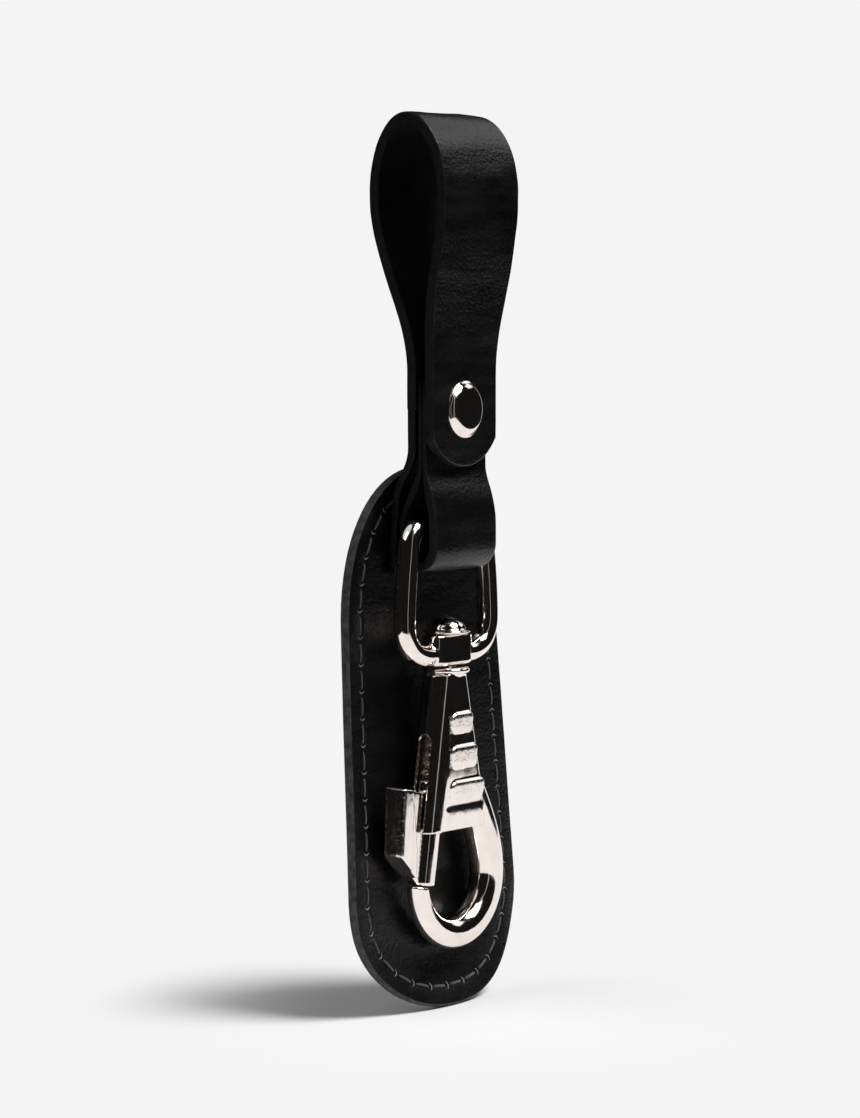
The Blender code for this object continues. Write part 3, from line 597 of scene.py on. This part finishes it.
def make_strap(materials):
    """The loop: a fixed rear half, then the crown round its apex, and the flap."""
    rear = half_loop(STACK, 9.3) + [(STACK, SEAM_Z)]
    front = half_loop(-STACK, -6.0) + [(-STACK, -FLAP_END)]
    path = Path(rear[::-1] + front[1:])
    shoulder = path.length - FLAP_ARC
    across = np.sin(np.linspace(-math.pi / 2, math.pi / 2, 25))

    def sides(first, last, count):
        along = np.linspace(first, last, count)
        return strip_edges(across, along, [strap_half_width(path.at(s)[1]) for s in along])

    def place(x, s, h):
        crown = max(0.0, 1 - abs(s - CROWN_S) / CROWN_REACH)
        wave = ripple(x, s, 3.1, 0.22 * crown, 9.0, 5.0) + ripple(x, s, 7.7, 0.05, 5, 3)
        cup = -0.25 * crown * (x / STRAP_HALF) ** 2
        return path.place(x, s, h - 0.14 + wave + cup)

    def place_rear(x, s, h):
        """Lets the rear piece's end slip just inside the loop's."""
        tuck = smooth_share((s - REAR_SEAM - 0.15) / 0.3)
        return place(x * (1 - 0.003 * tuck), s, h * (1 - 0.03 * tuck))

    rear_item = leather_sheet("strap_rear", sides(0.0, REAR_SEAM + REAR_LAP, 50),
                              STRAP_THICKNESS, place_rear, STRAP_ROUNDING, materials)
    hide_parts("belt_loop")
    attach(rear_item, "strap")
    top, _, left, right = sides(REAR_SEAM, shoulder, 110)
    half_end = strap_half_width(-FLAP_END)
    arc = (half_end ** 2 + FLAP_ARC ** 2) / (2 * FLAP_ARC)
    bottom = [(a * half_end, path.length - arc + math.sqrt(arc ** 2 - (a * half_end) ** 2))
              for a in across]
    item = leather_sheet("strap_loop", (top, bottom, left, right), STRAP_THICKNESS, place,
                         STRAP_ROUNDING, materials)
    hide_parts("strap_flap")
    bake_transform(item)


def make_lower_strap(materials):
    """The strap below the stud, bending back on to the guard, where it ends."""
    heights = np.concatenate((np.linspace(SEAM_Z + 0.7, -57, 7)[:-1], np.linspace(-57, -79.5, 26)))
    path = Path([(tail_centre(z), z) for z in heights], reverse=True)
    along = np.linspace(0, path.length, 60)
    half = [strap_half_width(SEAM_Z) - 0.4 * s / path.length for s in along]

    def place(x, s, h):
        thin = math.copysign(0.2 * smooth_share((s - 7) / 5), h)
        return path.place(x, s, thin - h + ripple(x, s, 5.5, 0.04, 6, 4))

    edges = strip_edges(np.linspace(-1, 1, 17), along, half)
    item = leather_sheet("strap_lower", edges, 1.7, place, 0.3, materials)
    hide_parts("strap_tail")
    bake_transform(item)


# Half of the hanger's width and of its thickness; its straight legs; its bend round the bar.
HANGER_HALF, HANGER_DEPTH = 8.9, 0.9
LEG_Y, LEG_TOP, LEG_END = 0.45, -45.3, -58
BEND_Z, BEND_INNER = -74.6, 2.7


def make_hanger(materials):
    """One strip folded round the eye's bar, its two legs cemented above it."""
    front, back = CHAIN_Y - BEND_INNER - HANGER_DEPTH, CHAIN_Y + BEND_INNER + 0.55
    centre, reach = (front + back) / 2, (back - front) / 2

    def opening(start, end, shares):
        """Centre line of one side, from its cemented leg out to the bend."""
        return [(start + (end - start) * smooth_share(t), -60 - 11.1 * t) for t in shares]

    path = [(-LEG_Y, LEG_TOP), (-LEG_Y, LEG_END)]
    path += opening(-LEG_Y, front, np.linspace(0, 1, 10)[1:])
    for angle in np.linspace(math.pi, 2 * math.pi, 26):
        path.append((centre + reach * math.cos(angle),
                     BEND_Z + (BEND_INNER + HANGER_DEPTH) * math.sin(angle)))
    path += opening(LEG_Y, back, np.linspace(1, 0, 10)[1:])
    route = Path(path + [(LEG_Y, LEG_END), (LEG_Y, LEG_TOP)])
    middle = route.s[int(np.argmin(route.z))]
    along = np.linspace(0, route.length, 120)

    def place(x, s, h):
        z = route.at(s)[1]
        legs = smooth_share((z + 66) / 5)
        behind = s >= middle
        full = HANGER_DEPTH - (0.35 * smooth_share((-z - 60) / 8) if behind else 0)
        depth = full + (0.44 - full) * legs
        depth *= 0.2 + 0.8 * smooth_share(min(s, route.length - s) / 6)
        if behind and z < -72.5:
            depth += (HANGER_DEPTH - depth) * smooth_share((-z - 72.5) / 5)
        swell = 0
        if h >= 0:
            bulge = 0.12 * math.cos(x / HANGER_HALF * math.pi / 2) * (1 - legs)
            swell = bulge + ripple(x, s, 9.2, 0.06, 7, 5)
        return route.place(x, s, h / HANGER_DEPTH * depth + swell)

    edges = strip_edges(np.linspace(-1, 1, 21), along, [HANGER_HALF] * len(along))
    item = leather_sheet("hanger_fold", edges, 2 * HANGER_DEPTH, place, 0.3, materials)
    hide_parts("hanger_strap")
    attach(item, "strap")


GUARD_TOP, GUARD_LENGTH = -60.7, 96.6
TOP_HALF, LOW_HALF, TOP_ROUND, LOW_ROUND = 21.9, 23.7, 29.7, 20.8
GUARD_SIDE, GUARD_SKEW = 1.3, 0.01
# Depth of each layer's middle behind the guard's face, and 1 if its grain looks to the front.
FRONT_LAYER, BACK_LAYER = (0.475, 1), (1.425, -1)
SEAM_IN = 3.3
STITCH_PITCH, STITCH_HALF, THREAD_RADIUS = 4.7, 2.0, 0.24


def guard_edges(columns=41, rows=50):
    """Egg-shaped outline as four edges of (x, drop from the guard's top)."""
    top, bottom = [], []
    foot = GUARD_LENGTH - LOW_ROUND
    for angle in np.linspace(-math.pi / 2, math.pi / 2, columns):
        side, up = math.sin(angle), max(math.cos(angle), 0)
        for edge, half, power in ((top, TOP_HALF, 2 / 2.4), (bottom, LOW_HALF, 2 / 2.2)):
            x = math.copysign(abs(side) ** power, side) * half
            rise = up ** power
            edge.append((x, TOP_ROUND * (1 - rise) if edge is top else foot + LOW_ROUND * rise))
    drops = np.linspace(TOP_ROUND, foot, rows)
    half = [TOP_HALF + (LOW_HALF - TOP_HALF) * (d - TOP_ROUND) / (foot - TOP_ROUND) for d in drops]
    return (top, bottom, *strip_edges((), drops, half)[2:])


def guard_place(offset, facing):
    """Maps (x, drop, height above the layer's middle) to the leaning, curled guard."""
    def place(x, drop, h):
        z = GUARD_TOP - drop + x * GUARD_SKEW
        slope = guard_face(z + 0.5) - guard_face(z - 0.5)
        out = facing * h / math.hypot(1, slope)
        wave = ripple(x, drop, 1.7, 0.10, 22, 26) + ripple(x, drop, 4.2, 0.03, 6, 6)
        side = x + GUARD_SIDE + drop * GUARD_SKEW
        return Vector((side, guard_face(z) + offset - out + wave, z + slope * out))
    return place


def make_guard(materials):
    edges = guard_edges()

    def layer(name, place, depth):
        groove = [(2.3, 0.0), (2.75, 0.03), (SEAM_IN, depth), (3.85, 0.03), (4.4, 0.0)]
        return leather_sheet(name, edges, 0.94, place, 0.24, materials, groove, 0.03)

    front = layer("guard_front_leather", guard_place(*FRONT_LAYER), 0.13)
    back = layer("guard_back_leather", guard_place(*BACK_LAYER), 0.12)
    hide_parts("guard_front")
    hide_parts("guard_back")
    for item in (front, back):
        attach(item, "guard")


def thread_ring(place, x, s, dx, ds, wide, tall, height, sides):
    """Points round a thread that runs along (dx, ds)."""
    ring = []
    for k in range(sides):
        angle = 2 * math.pi * k / sides
        side = wide * math.cos(angle)
        ring.append(place(x - ds * side, s + dx * side, height + tall * math.sin(angle)))
    return ring


def nick(bm, x, s, dx, ds, place):
    """The V-shaped lips of a needle hole, open towards the next stitch."""
    for turn in (-1, 1):
        rings = []
        for t in (0.0, 0.35, 0.7, 1.0):
            across, along = turn * 0.72 * t, 0.15 + 0.5 * t
            px, ps = x + dx * along - ds * across, s + ds * along + dx * across
            size = 0.19 * (1 - 0.7 * t ** 2)
            rings.append(thread_ring(place, px, ps, dx, ds, size, size * 0.8, 0.36 + 0.07 * t, 6))
        skin_rings(bm, rings, slot=1)


def stitch_mesh(name, spots, place):
    """Sunken thread stitches that dip into their needle holes at both ends."""
    bm = bmesh.new()
    for x, s, dx, ds in spots:
        rings = []
        for t in np.linspace(-1, 1, 9):
            height = 0.45 - 0.10 * abs(t) ** 2.4 - 0.42 * abs(t) ** 5
            px, ps = x + dx * t * STITCH_HALF, s + ds * t * STITCH_HALF
            size = THREAD_RADIUS * (1 - 0.3 * abs(t) ** 4)
            rings.append(thread_ring(place, px, ps, dx, ds, size, size * 0.75, height, 8))
        skin_rings(bm, rings)
        end = STITCH_HALF + 0.12
        nick(bm, x + dx * end, s + ds * end, dx, ds, place)
    bmesh.ops.recalc_face_normals(bm, faces=bm.faces)
    mesh = mesh_of(name, bm)
    mesh.shade_smooth()
    return mesh


def seam_spots():
    """Middle and direction of every stitch round the guard's rim."""
    loop = inset_loops(border_of(guard_edges(161, 160)), [SEAM_IN])[0]
    closed = np.vstack((loop, loop[:1]))
    s = np.concatenate(([0], np.cumsum(np.linalg.norm(np.diff(closed, axis=0), axis=1))))
    count = round(s[-1] / STITCH_PITCH)
    spots = []
    for i in range(count):
        here = (i + 0.5) * s[-1] / count
        x, d = (float(np.interp(here, s, closed[:, k])) for k in (0, 1))
        x2, d2 = (float(np.interp(here + 0.3, s, closed[:, k])) for k in (0, 1))
        size = math.hypot(x2 - x, d2 - d)
        spots.append((x, d, (x2 - x) / size, (d2 - d) / size))
    return spots


def make_stitches(*materials):
    spots = seam_spots()
    # The strap's tail covers the front stitches at the top.
    shown = [spot for spot in spots if not (abs(spot[0]) < 9.6 and spot[1] < 9)]
    for name, seam, layer in (
        ("seam_front", shown, FRONT_LAYER), ("seam_back", spots, BACK_LAYER),
    ):
        item = place_object(name, stitch_mesh(name, seam, guard_place(*layer)), *materials)
        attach(item, "guard")


# ---------------------------------------------------------------- metal pieces
CHAIN = Matrix.Translation((0, CHAIN_Y, 0))
BODY_TOP, BODY_FOOT = -97.8, -125.3
BODY_LENGTH = 27.5
COLLAR_TOP = -96.3
LEAN = 0.165
LEAN_ANGLE = math.atan(LEAN)
BARREL = 3.4
BORE, BORE_TOP = 2.7, 21.6
BASE_LOW, BASE_HIGH = -96.0, -90.4
BOLT_FOOT, BOLT_LENGTH = -134.7, 18.5
RIVET_HOLE = 2.0


def bore_x(z):
    return -6.0 + (z - BODY_FOOT) * LEAN


def bore_frame(z):
    """Placement on the leaning bore's axis at height z."""
    turn = Matrix.Rotation(LEAN_ANGLE, 4, "Y")
    return Matrix.Translation((bore_x(z), CHAIN_Y, z)) @ turn


def tube(bm, path, radii, sides=28, flatten=1.0, closed=False):
    """A round or flattened tube along a path of (x, z) at the chain's depth."""
    points = np.array(path)
    if closed:
        slope = np.roll(points, -1, axis=0) - np.roll(points, 1, axis=0)
    else:
        slope = np.gradient(points, axis=0)
    slope /= np.linalg.norm(slope, axis=1)[:, None]
    rings = []
    for (x, z), (dx, dz), radius in zip(points, slope, radii):
        ring = []
        for k in range(sides):
            angle = 2 * math.pi * k / sides
            side, depth = radius * math.cos(angle), radius * flatten * math.sin(angle)
            ring.append((x - dz * side, CHAIN_Y + depth, z + dx * side))
        rings.append(ring)
    skin_rings(bm, rings, closed)


def turned(bm, profile, steps, frame, closed=False):
    """A profile of (radius, height) turned about local Z; ends at radius 0 are closed."""
    rings = []
    for radius, height in profile:
        ring = []
        for k in range(steps if radius > 0 else 1):
            angle = 2 * math.pi * k / steps
            spot = Vector((radius * math.cos(angle), radius * math.sin(angle), height))
            ring.append(bm.verts.new(frame @ spot))
        rings.append(ring)
    for a, b in zip(rings, rings[1:] + rings[:1] if closed else rings[1:]):
        for k in range(steps):
            m = (k + 1) % steps
            if len(a) == 1:
                bm.faces.new((a[0], b[k], b[m]))
            elif len(b) == 1:
                bm.faces.new((a[k], b[0], a[m]))
            else:
                bm.faces.new((a[k], b[k], b[m], a[m]))


def cylinder(radius, start, end, steps, frame):
    """Fills a mesh with a cylinder along the frame's Z."""
    profile = [(0, start), (radius, start), (radius, end), (0, end)]
    return lambda bm: turned(bm, profile, steps, frame)


def prism(outline, depth, frame, rounding=0.0):
    """Fills a mesh with an outline of (x, z), solid to depth on both sides, edges rounded."""
    def fill(bm):
        part = bmesh.new()
        skin_rings(part, [[(x, y, z) for x, z in outline] for y in (-depth, depth)])
        bmesh.ops.recalc_face_normals(part, faces=part.faces)
        if rounding:
            bmesh.ops.bevel(part, geom=list(part.edges), offset=rounding, segments=2,
                            profile=0.5, affect="EDGES", clamp_overlap=True)
        part.transform(frame)
        mesh = bpy.data.meshes.new("prism")
        part.to_mesh(mesh)
        part.free()
        bm.from_mesh(mesh)
        bpy.data.meshes.remove(mesh)
    return fill


def scratch_object(name, fill):
    """A helper object filled by fill(bm), facing out."""
    bm = bmesh.new()
    fill(bm)
    bmesh.ops.recalc_face_normals(bm, faces=bm.faces)
    return place_object(name, mesh_of(name, bm))


def cast_mesh(name, solids, cuts, voxel, smoothing):
    """Solids joined and cut, then resurfaced so that every corner is softly rounded."""
    parts = [scratch_object(f"{name}_{i}", fill) for i, fill in enumerate(solids)]
    cutters = [scratch_object(f"{name}_cut_{i}", fill) for i, fill in enumerate(cuts)]
    body = parts[0]
    steps = [(part, "UNION") for part in parts[1:]] + [(cut, "DIFFERENCE") for cut in cutters]
    for other, operation in steps:
        step = body.modifiers.new(other.name, "BOOLEAN")
        step.operation = operation
        step.solver = "EXACT"
        step.object = other
    remesh = body.modifiers.new("remesh", "REMESH")
    remesh.mode = "VOXEL"
    remesh.voxel_size = voxel * MM
    relax = body.modifiers.new("relax", "SMOOTH")
    relax.factor = 0.5
    relax.iterations = smoothing
    bpy.context.view_layer.update()
    evaluated = body.evaluated_get(bpy.context.evaluated_depsgraph_get())
    mesh = bpy.data.meshes.new_from_object(evaluated)
    mesh.name = name
    for item in parts + cutters:
        data = item.data
        bpy.data.objects.remove(item, do_unlink=True)
        bpy.data.meshes.remove(data)
    mesh.materials.clear()
    mesh.shade_smooth()
    return mesh


# The eye's right half as shares of its half width and its height, from the top down.
EYE_SHARES = (
    (0, 0), (0.3, 0), (0.5, 0), (0.644, 0), (0.758, 0.012), (0.853, 0.045), (0.918, 0.094),
    (0.941, 0.153), (0.955, 0.22), (0.985, 0.33), (1.01, 0.45), (1.03, 0.58), (1.04, 0.71),
    (1.03, 0.8), (0.97, 0.885), (0.84, 0.955), (0.62, 0.995), (0.4, 1), (0.2, 1), (0, 1),
)
EYE_HALF, EYE_TOP, EYE_HEIGHT, EYE_WIRE = 11.8, -71.1, 22.9, 1.95


def eye_path(steps=5):
    """The eye's centre line as (x, z), smoothed through its outline."""
    right = [(EYE_HALF * x, EYE_TOP - EYE_HEIGHT * drop) for x, drop in EYE_SHARES]
    points = right + [(-x, z) for x, z in right[-2:0:-1]]
    path, count = [], len(points)
    for i in range(count):
        before, start, end, after = (np.array(points[(i + k) % count]) for k in (-1, 0, 1, 2))
        for step in range(steps):
            t = step / steps
            straight = start + (end - start) * smooth_share(t)
            path.append(straight + (end - before) / 2 * t * (1 - t) ** 2
                        - (after - start) / 2 * t * t * (1 - t))
    return path


def make_eye(material):
    """Wire ring run into a block, which is drilled for the rivet."""
    def ring(bm):
        path = eye_path()
        tube(bm, path, [EYE_WIRE] * len(path), closed=True)

    def block(bm):
        rings = []
        for z, inset in ((BASE_LOW, 0.6), (BASE_LOW + 0.15, 0.25), (BASE_LOW + 0.5, 0),
                         (BASE_HIGH - 0.4, 0), (BASE_HIGH - 0.12, 0.15), (BASE_HIGH, 0.45)):
            section = []
            for angle in np.linspace(0, 2 * math.pi, 65)[:-1]:
                x, y = (math.copysign(abs(value) ** 0.62, value) * (half - inset)
                        for value, half in ((math.cos(angle), 5.5), (math.sin(angle), 2.7)))
                section.append((x, CHAIN_Y + y, z))
            rings.append(section)
        skin_rings(bm, rings)

    drill = cylinder(RIVET_HOLE, -89, -98, 40, CHAIN)
    mesh = cast_mesh("swivel_eye_metal", [ring, block], [drill], 0.19, 5)
    item = place_object("swivel_eye_metal", mesh, material)
    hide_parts("swivel_eye")
    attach(item, "eye")


def make_rivet(material):
    """Domed swivel rivet with a thin flange on the block."""
    seat = BASE_HIGH + 0.12
    profile = [(0, seat + 2.95)]
    for angle in np.linspace(math.pi / 2, 0.12, 16)[1:]:
        profile.append((3.55 * math.cos(angle), seat + 0.5 + 2.45 * math.sin(angle)))
    profile += [(3.75, seat + 0.62), (4.05, seat + 0.5), (4.15, seat + 0.32), (4.1, seat + 0.12),
                (3.95, seat), (1.7, seat), (1.7, -100.8), (0, -100.8)]
    bm = bmesh.new()
    turned(bm, profile, 72, CHAIN)
    item = place_object("swivel_rivet_metal", finish_bmesh("swivel_rivet_metal", bm, 60), material)
    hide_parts("swivel_rivet")
    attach(item, "hook")


# How far the plate's front stands out or falls back, by the share of its height from the top.
FACE_SWELL = (
    (0, 0), (0.6, 0), (0.66, -0.03), (0.80, -0.22), (0.84, -0.24), (0.87, -0.18), (0.91, -0.17),
    (0.94, -0.21), (1.0, -0.48),
)
# Each rib's drop from the body's top, its height and its right end.
RIBS = ((6.3, 3.8, 3.0), (12.2, 4.1, 4.3), (18.5, 3.5, 6.6))
RIB_LEFT = -3.3
# The rib's left and right end as (distance from that end, how much the rib shrinks there).
RIB_LEFT_END = ((0, 1.3), (0.12, 0.85), (0.45, 0.4), (1.0, 0.08), (1.5, 0))
RIB_RIGHT_END = ((0.7, 0), (0.2, 0.2), (0, 0.5))
HOOK_X, HOOK_Z, HOOK_RADIUS = 1.8, -134.2, 10.25
SLOT_HALF, SLOT_TOP = 1.25, 17.0


def face_swell(share):
    return float(np.interp(share, *zip(*FACE_SWELL)))


def body_right(share):
    return 3.2 + 6.3 * share


def body_ring(z):
    """The casting's section: a round barrel that runs into a flat plate with a round edge."""
    share = (BODY_TOP - z) / BODY_LENGTH
    left = bore_x(z)
    half = []
    for angle in np.linspace(math.pi, math.pi / 2, 20):
        half.append((left + BARREL * math.cos(angle), BARREL * math.sin(angle), 0.0))
    end = body_right(share) - 2.5
    for t in np.linspace(0, 1, 18)[1:]:
        x = left + (end - left) * t
        half.append((x, 3.4 - 0.06 * smooth_share(t), smooth_share((x - left + 0.6) / 2.4)))
    for angle in np.linspace(math.pi / 2, 0, 12)[1:]:
        half.append((end + 2.5 * math.cos(angle), 3.34 * math.sin(angle), math.sin(angle)))
    swell = face_swell(share)
    ring = [(x, CHAIN_Y - depth - swell * part, z) for x, depth, part in half]
    ring += [(x, CHAIN_Y + depth, z) for x, depth, _ in half[-2:0:-1]]
    return ring


def hook_arm(bm):
    """Down the right arm, round the bottom and up to the tip."""
    root_x, root_z = body_right(0.6) - 3.35, BODY_TOP - BODY_LENGTH * 0.6
    path, radii = [], []
    for t in np.linspace(0, 1, 26)[:-1]:
        path.append((root_x + (HOOK_X + HOOK_RADIUS - root_x) * smooth_share(t) ** 0.6,
                     root_z + (HOOK_Z - root_z) * t))
    for angle in np.linspace(2 * math.pi, math.pi - 0.04, 60):
        path.append((HOOK_X + HOOK_RADIUS * math.cos(angle),
                     HOOK_Z + HOOK_RADIUS * math.sin(angle)))
    for i in range(len(path)):
        t = smooth_share((i - len(path) * 0.42) / (len(path) * 0.58))
        radii.append(3.35 - 1.2 * t)
    tube(bm, path, radii, 32, 0.87)


def rib(drop, height, right):
    """A thumb rib across the plate's front, rounded at both ends."""
    def fill(bm):
        top = BODY_TOP - drop
        foot = top - height
        front = CHAIN_Y - 3.25 - face_swell((drop + height / 2) / BODY_LENGTH)
        ends = [(RIB_LEFT + away, shrink) for away, shrink in RIB_LEFT_END]
        ends += [(right - away, shrink) for away, shrink in RIB_RIGHT_END]
        rings = []
        for x, shrink in ends:
            sink = shrink * 0.9
            rise = sink * 0.5
            rings.append([
                (x, front + 1.4, top - sink), (x, front + 0.15, top - sink),
                (x, front - 0.3 + rise, top - 0.15 - sink),
                (x, front - 0.6 + rise, top - 0.45 - sink),
                (x, front - 0.7 + rise, top - 0.95 - rise),
                (x, front - 0.5 + rise, foot + 0.8 + rise),
                (x, front - 0.3 + rise, foot + 0.25 + sink),
                (x, front + 0.15, foot + sink), (x, front + 1.4, foot + sink),
            ])
        skin_rings(bm, rings)
    return fill


def make_hook(material, rib_material):
    """Collar, barrel with a slot for the bolt's web, thumb ribs and open hook, in one casting."""
    frame = bore_frame(BODY_FOOT)

    def body(bm):
        skin_rings(bm, [body_ring(z) for z in np.linspace(BODY_TOP + 0.3, BODY_FOOT, 90)])

    def collar(bm):
        turned(bm, [(0, COLLAR_TOP), (3.6, COLLAR_TOP), (4.0, -96.45), (4.2, -96.85), (4.0, -97.25),
                    (3.6, -97.5), (3.1, -97.8), (2.9, -98.6), (0, -98.6)], 64, CHAIN)

    def slot(bm):
        turn = [(SLOT_HALF * math.cos(a), SLOT_TOP - SLOT_HALF + SLOT_HALF * math.sin(a))
                for a in np.linspace(0, math.pi, 13)]
        outline = [(-SLOT_HALF, -3.0)] + [(-y, z) for y, z in turn] + [(SLOT_HALF, -3.0)]
        skin_rings(bm, [[frame @ Vector((u, y, z)) for y, z in outline] for u in (-7.0, 0.0)])

    bore = cylinder(BORE, -3, BORE_TOP, 48, frame)
    tip = cylinder(4.3, 0, 3.6, 32, bore_frame(-135.0))
    socket = cylinder(RIVET_HOLE, -90, -101.1, 40, CHAIN)
    solids = [body, collar, hook_arm] + [rib(*values) for values in RIBS]
    mesh = cast_mesh("hook_metal", solids, [bore, slot, tip, socket], 0.18, 5)
    item = place_object("hook_metal", mesh, material, rib_material)
    for face in mesh.polygons:
        x, y, z = (c / MM for c in face.center)
        if y < CHAIN_Y - 3.2 and x > RIB_LEFT - 0.3:
            for drop, height, _ in RIBS:
                if BODY_TOP - drop - height < z < BODY_TOP - drop - 0.5:
                    face.material_index = 1
    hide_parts("hook_body")
    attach(item, "hook")


def make_bolt(material, pad_material):
    """Gate bolt whose thin web runs in the slot to a thick thumb wing."""
    frame = bore_frame(BOLT_FOOT)

    def rod(bm):
        turned(bm, [(0, 0), (2.15, 0), (2.45, 0.3), (2.45, 18.2), (2.15, BOLT_LENGTH),
                    (0, BOLT_LENGTH)], 48, frame)

    web = prism([(0, 0.2), (-2.4, 0.2), (-6.3, 2.9), (-7.9, 16.4), (0, 16.4)], 0.95, frame)
    wing = prism([(-5.6, 2.3), (-9.0, 4.6), (-10.4, 16.7), (-7.6, 16.7)], 2.3, frame, 0.35)
    blend = prism([(-3.8, 1.1), (-6.0, 2.6), (-8.8, 4.9), (-8.2, 15.9), (-6.9, 15.3),
                   (-4.4, 6.5)], 1.9, frame, 0.35)
    mesh = cast_mesh("gate_metal", [rod, web, blend, wing], [], 0.15, 4)
    item = place_object("gate_metal", mesh, material, pad_material)
    inverse = frame.inverted()
    for face in mesh.polygons:
        spot = inverse @ (Vector(face.center) / MM)
        if spot.x < -8.3 and (inverse.to_3x3() @ face.normal).x < -0.7:
            face.material_index = 1
    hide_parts("gate_bolt")
    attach(item, "gate")


def make_spring(material):
    """Wire spring between the bolt's top and the bore's end."""
    frame = bore_frame(BODY_FOOT)
    foot = BOLT_LENGTH + (BOLT_FOOT - BODY_FOOT) / math.cos(LEAN_ANGLE) + 0.3
    length = BORE_TOP - 0.45 - foot
    radius, wire, turns, per_turn, sides = 1.87, 0.225, 7, 28, 8
    axial = Vector((0, 0, 1))
    rings = []
    for i in range(turns * per_turn + 1):
        angle = 2 * math.pi * i / per_turn
        out = Vector((math.cos(angle), math.sin(angle), 0))
        centre = out * radius + axial * (foot + length * i / (turns * per_turn))
        ring = []
        for k in range(sides):
            a = 2 * math.pi * k / sides
            ring.append(frame @ (centre + out * wire * math.cos(a) + axial * wire * math.sin(a)))
        rings.append(ring)
    bm = bmesh.new()
    skin_rings(bm, rings)
    item = place_object("gate_spring_wire", finish_bmesh("gate_spring_wire", bm, 60), material)
    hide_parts("gate_spring")
    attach(item, "hook")
    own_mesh(item)


def snap_frame(y):
    """A frame whose local Z points to the front at the press stud."""
    return Matrix.Translation((0, y, SEAM_Z)) @ Matrix.Rotation(math.radians(90), 4, "X")


def make_snap(bright, dull):
    """Press stud: domed cap and socket on the flap, stud and post through the stack."""
    cap = [(0, 1.24), (0.3, 1.26)]
    cap += [(4.75 * t, 0.28 + 1.0 * (1 - t ** 5.5)) for t in np.linspace(0.14, 1, 26)]
    cap += [(4.98, 0.2), (5.08, 0.08), (5.08, -0.02), (4.95, -0.08), (1.4, -0.08), (1.4, -1.1),
            (0, -1.1)]
    socket = [(1.6, -0.15), (4.0, -0.15), (4.2, -0.35), (4.2, -0.8), (4.0, -1.0), (3.1, -1.0),
              (2.75, -0.92), (2.45, -0.75), (2.45, -0.3), (1.6, -0.3)]
    stud = [(1.7, 1.3), (1.95, 1.35), (2.1, 1.0), (1.95, 0.5), (3.7, 0.42), (3.9, 0.2), (3.8, 0.0),
            (1.7, 0.0)]
    post = [(0, 0.62), (1.2, 0.62), (1.45, 0.57), (1.7, 0.52), (3.8, 0.5), (4.15, 0.36),
            (4.3, 0.18), (4.2, 0.04), (1.35, 0.0), (1.35, -6.6), (0, -6.6)]
    rear = snap_frame(STACK + 0.87) @ Matrix.Rotation(math.pi, 4, "X")
    jobs = (
        ("snap_cap", cap, snap_frame(-STACK - 0.85), False, bright, "flap"),
        ("snap_socket", socket, snap_frame(-STACK + 0.65), True, dull, "flap"),
        ("snap_stud", stud, snap_frame(-0.5), True, dull, "strap"),
        ("snap_post", post, rear, False, bright, "strap"),
    )
    for node, profile, frame, closed, material, body in jobs:
        bm = bmesh.new()
        turned(bm, profile, 72, frame, closed)
        name = node + "_metal"
        item = place_object(name, finish_bmesh(name, bm, 40), material)
        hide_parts(node)
        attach(item, body)


def build_scene():
    make_camera()
    make_studio()
    flesh = flesh_leather("flesh_side", (0.0025, 0.0025, 0.0024))
    edge = cut_edge("cut_edge", (0.006, 0.006, 0.0057))
    strap_materials = (grain_leather("strap_grain", 0.8, 0.5), edge, flesh)
    make_strap(strap_materials)
    make_lower_strap(strap_materials)
    make_hanger((grain_leather("hanger_grain", 0.6, 0.3), edge, flesh))
    guard_edge = cut_edge("guard_edge", (0.055, 0.056, 0.055))
    make_guard((grain_leather("guard_grain", 0.7, 0.2), guard_edge, flesh))
    make_stitches(thread_material(), cut_edge("needle_hole", (0.2, 0.2, 0.2)))
    bright = nickel("nickel", 0.09)
    make_eye(bright)
    make_rivet(bright)
    make_hook(bright, nickel("nickel_pitted", 0.26, pits=1.0))
    make_bolt(bright, nickel("nickel_pad", 0.13, pits=0.7))
    make_spring(nickel("spring_wire", 0.2, colour=(0.62, 0.6, 0.57)))
    make_snap(bright, nickel("nickel_dull", 0.18))


build_scene()
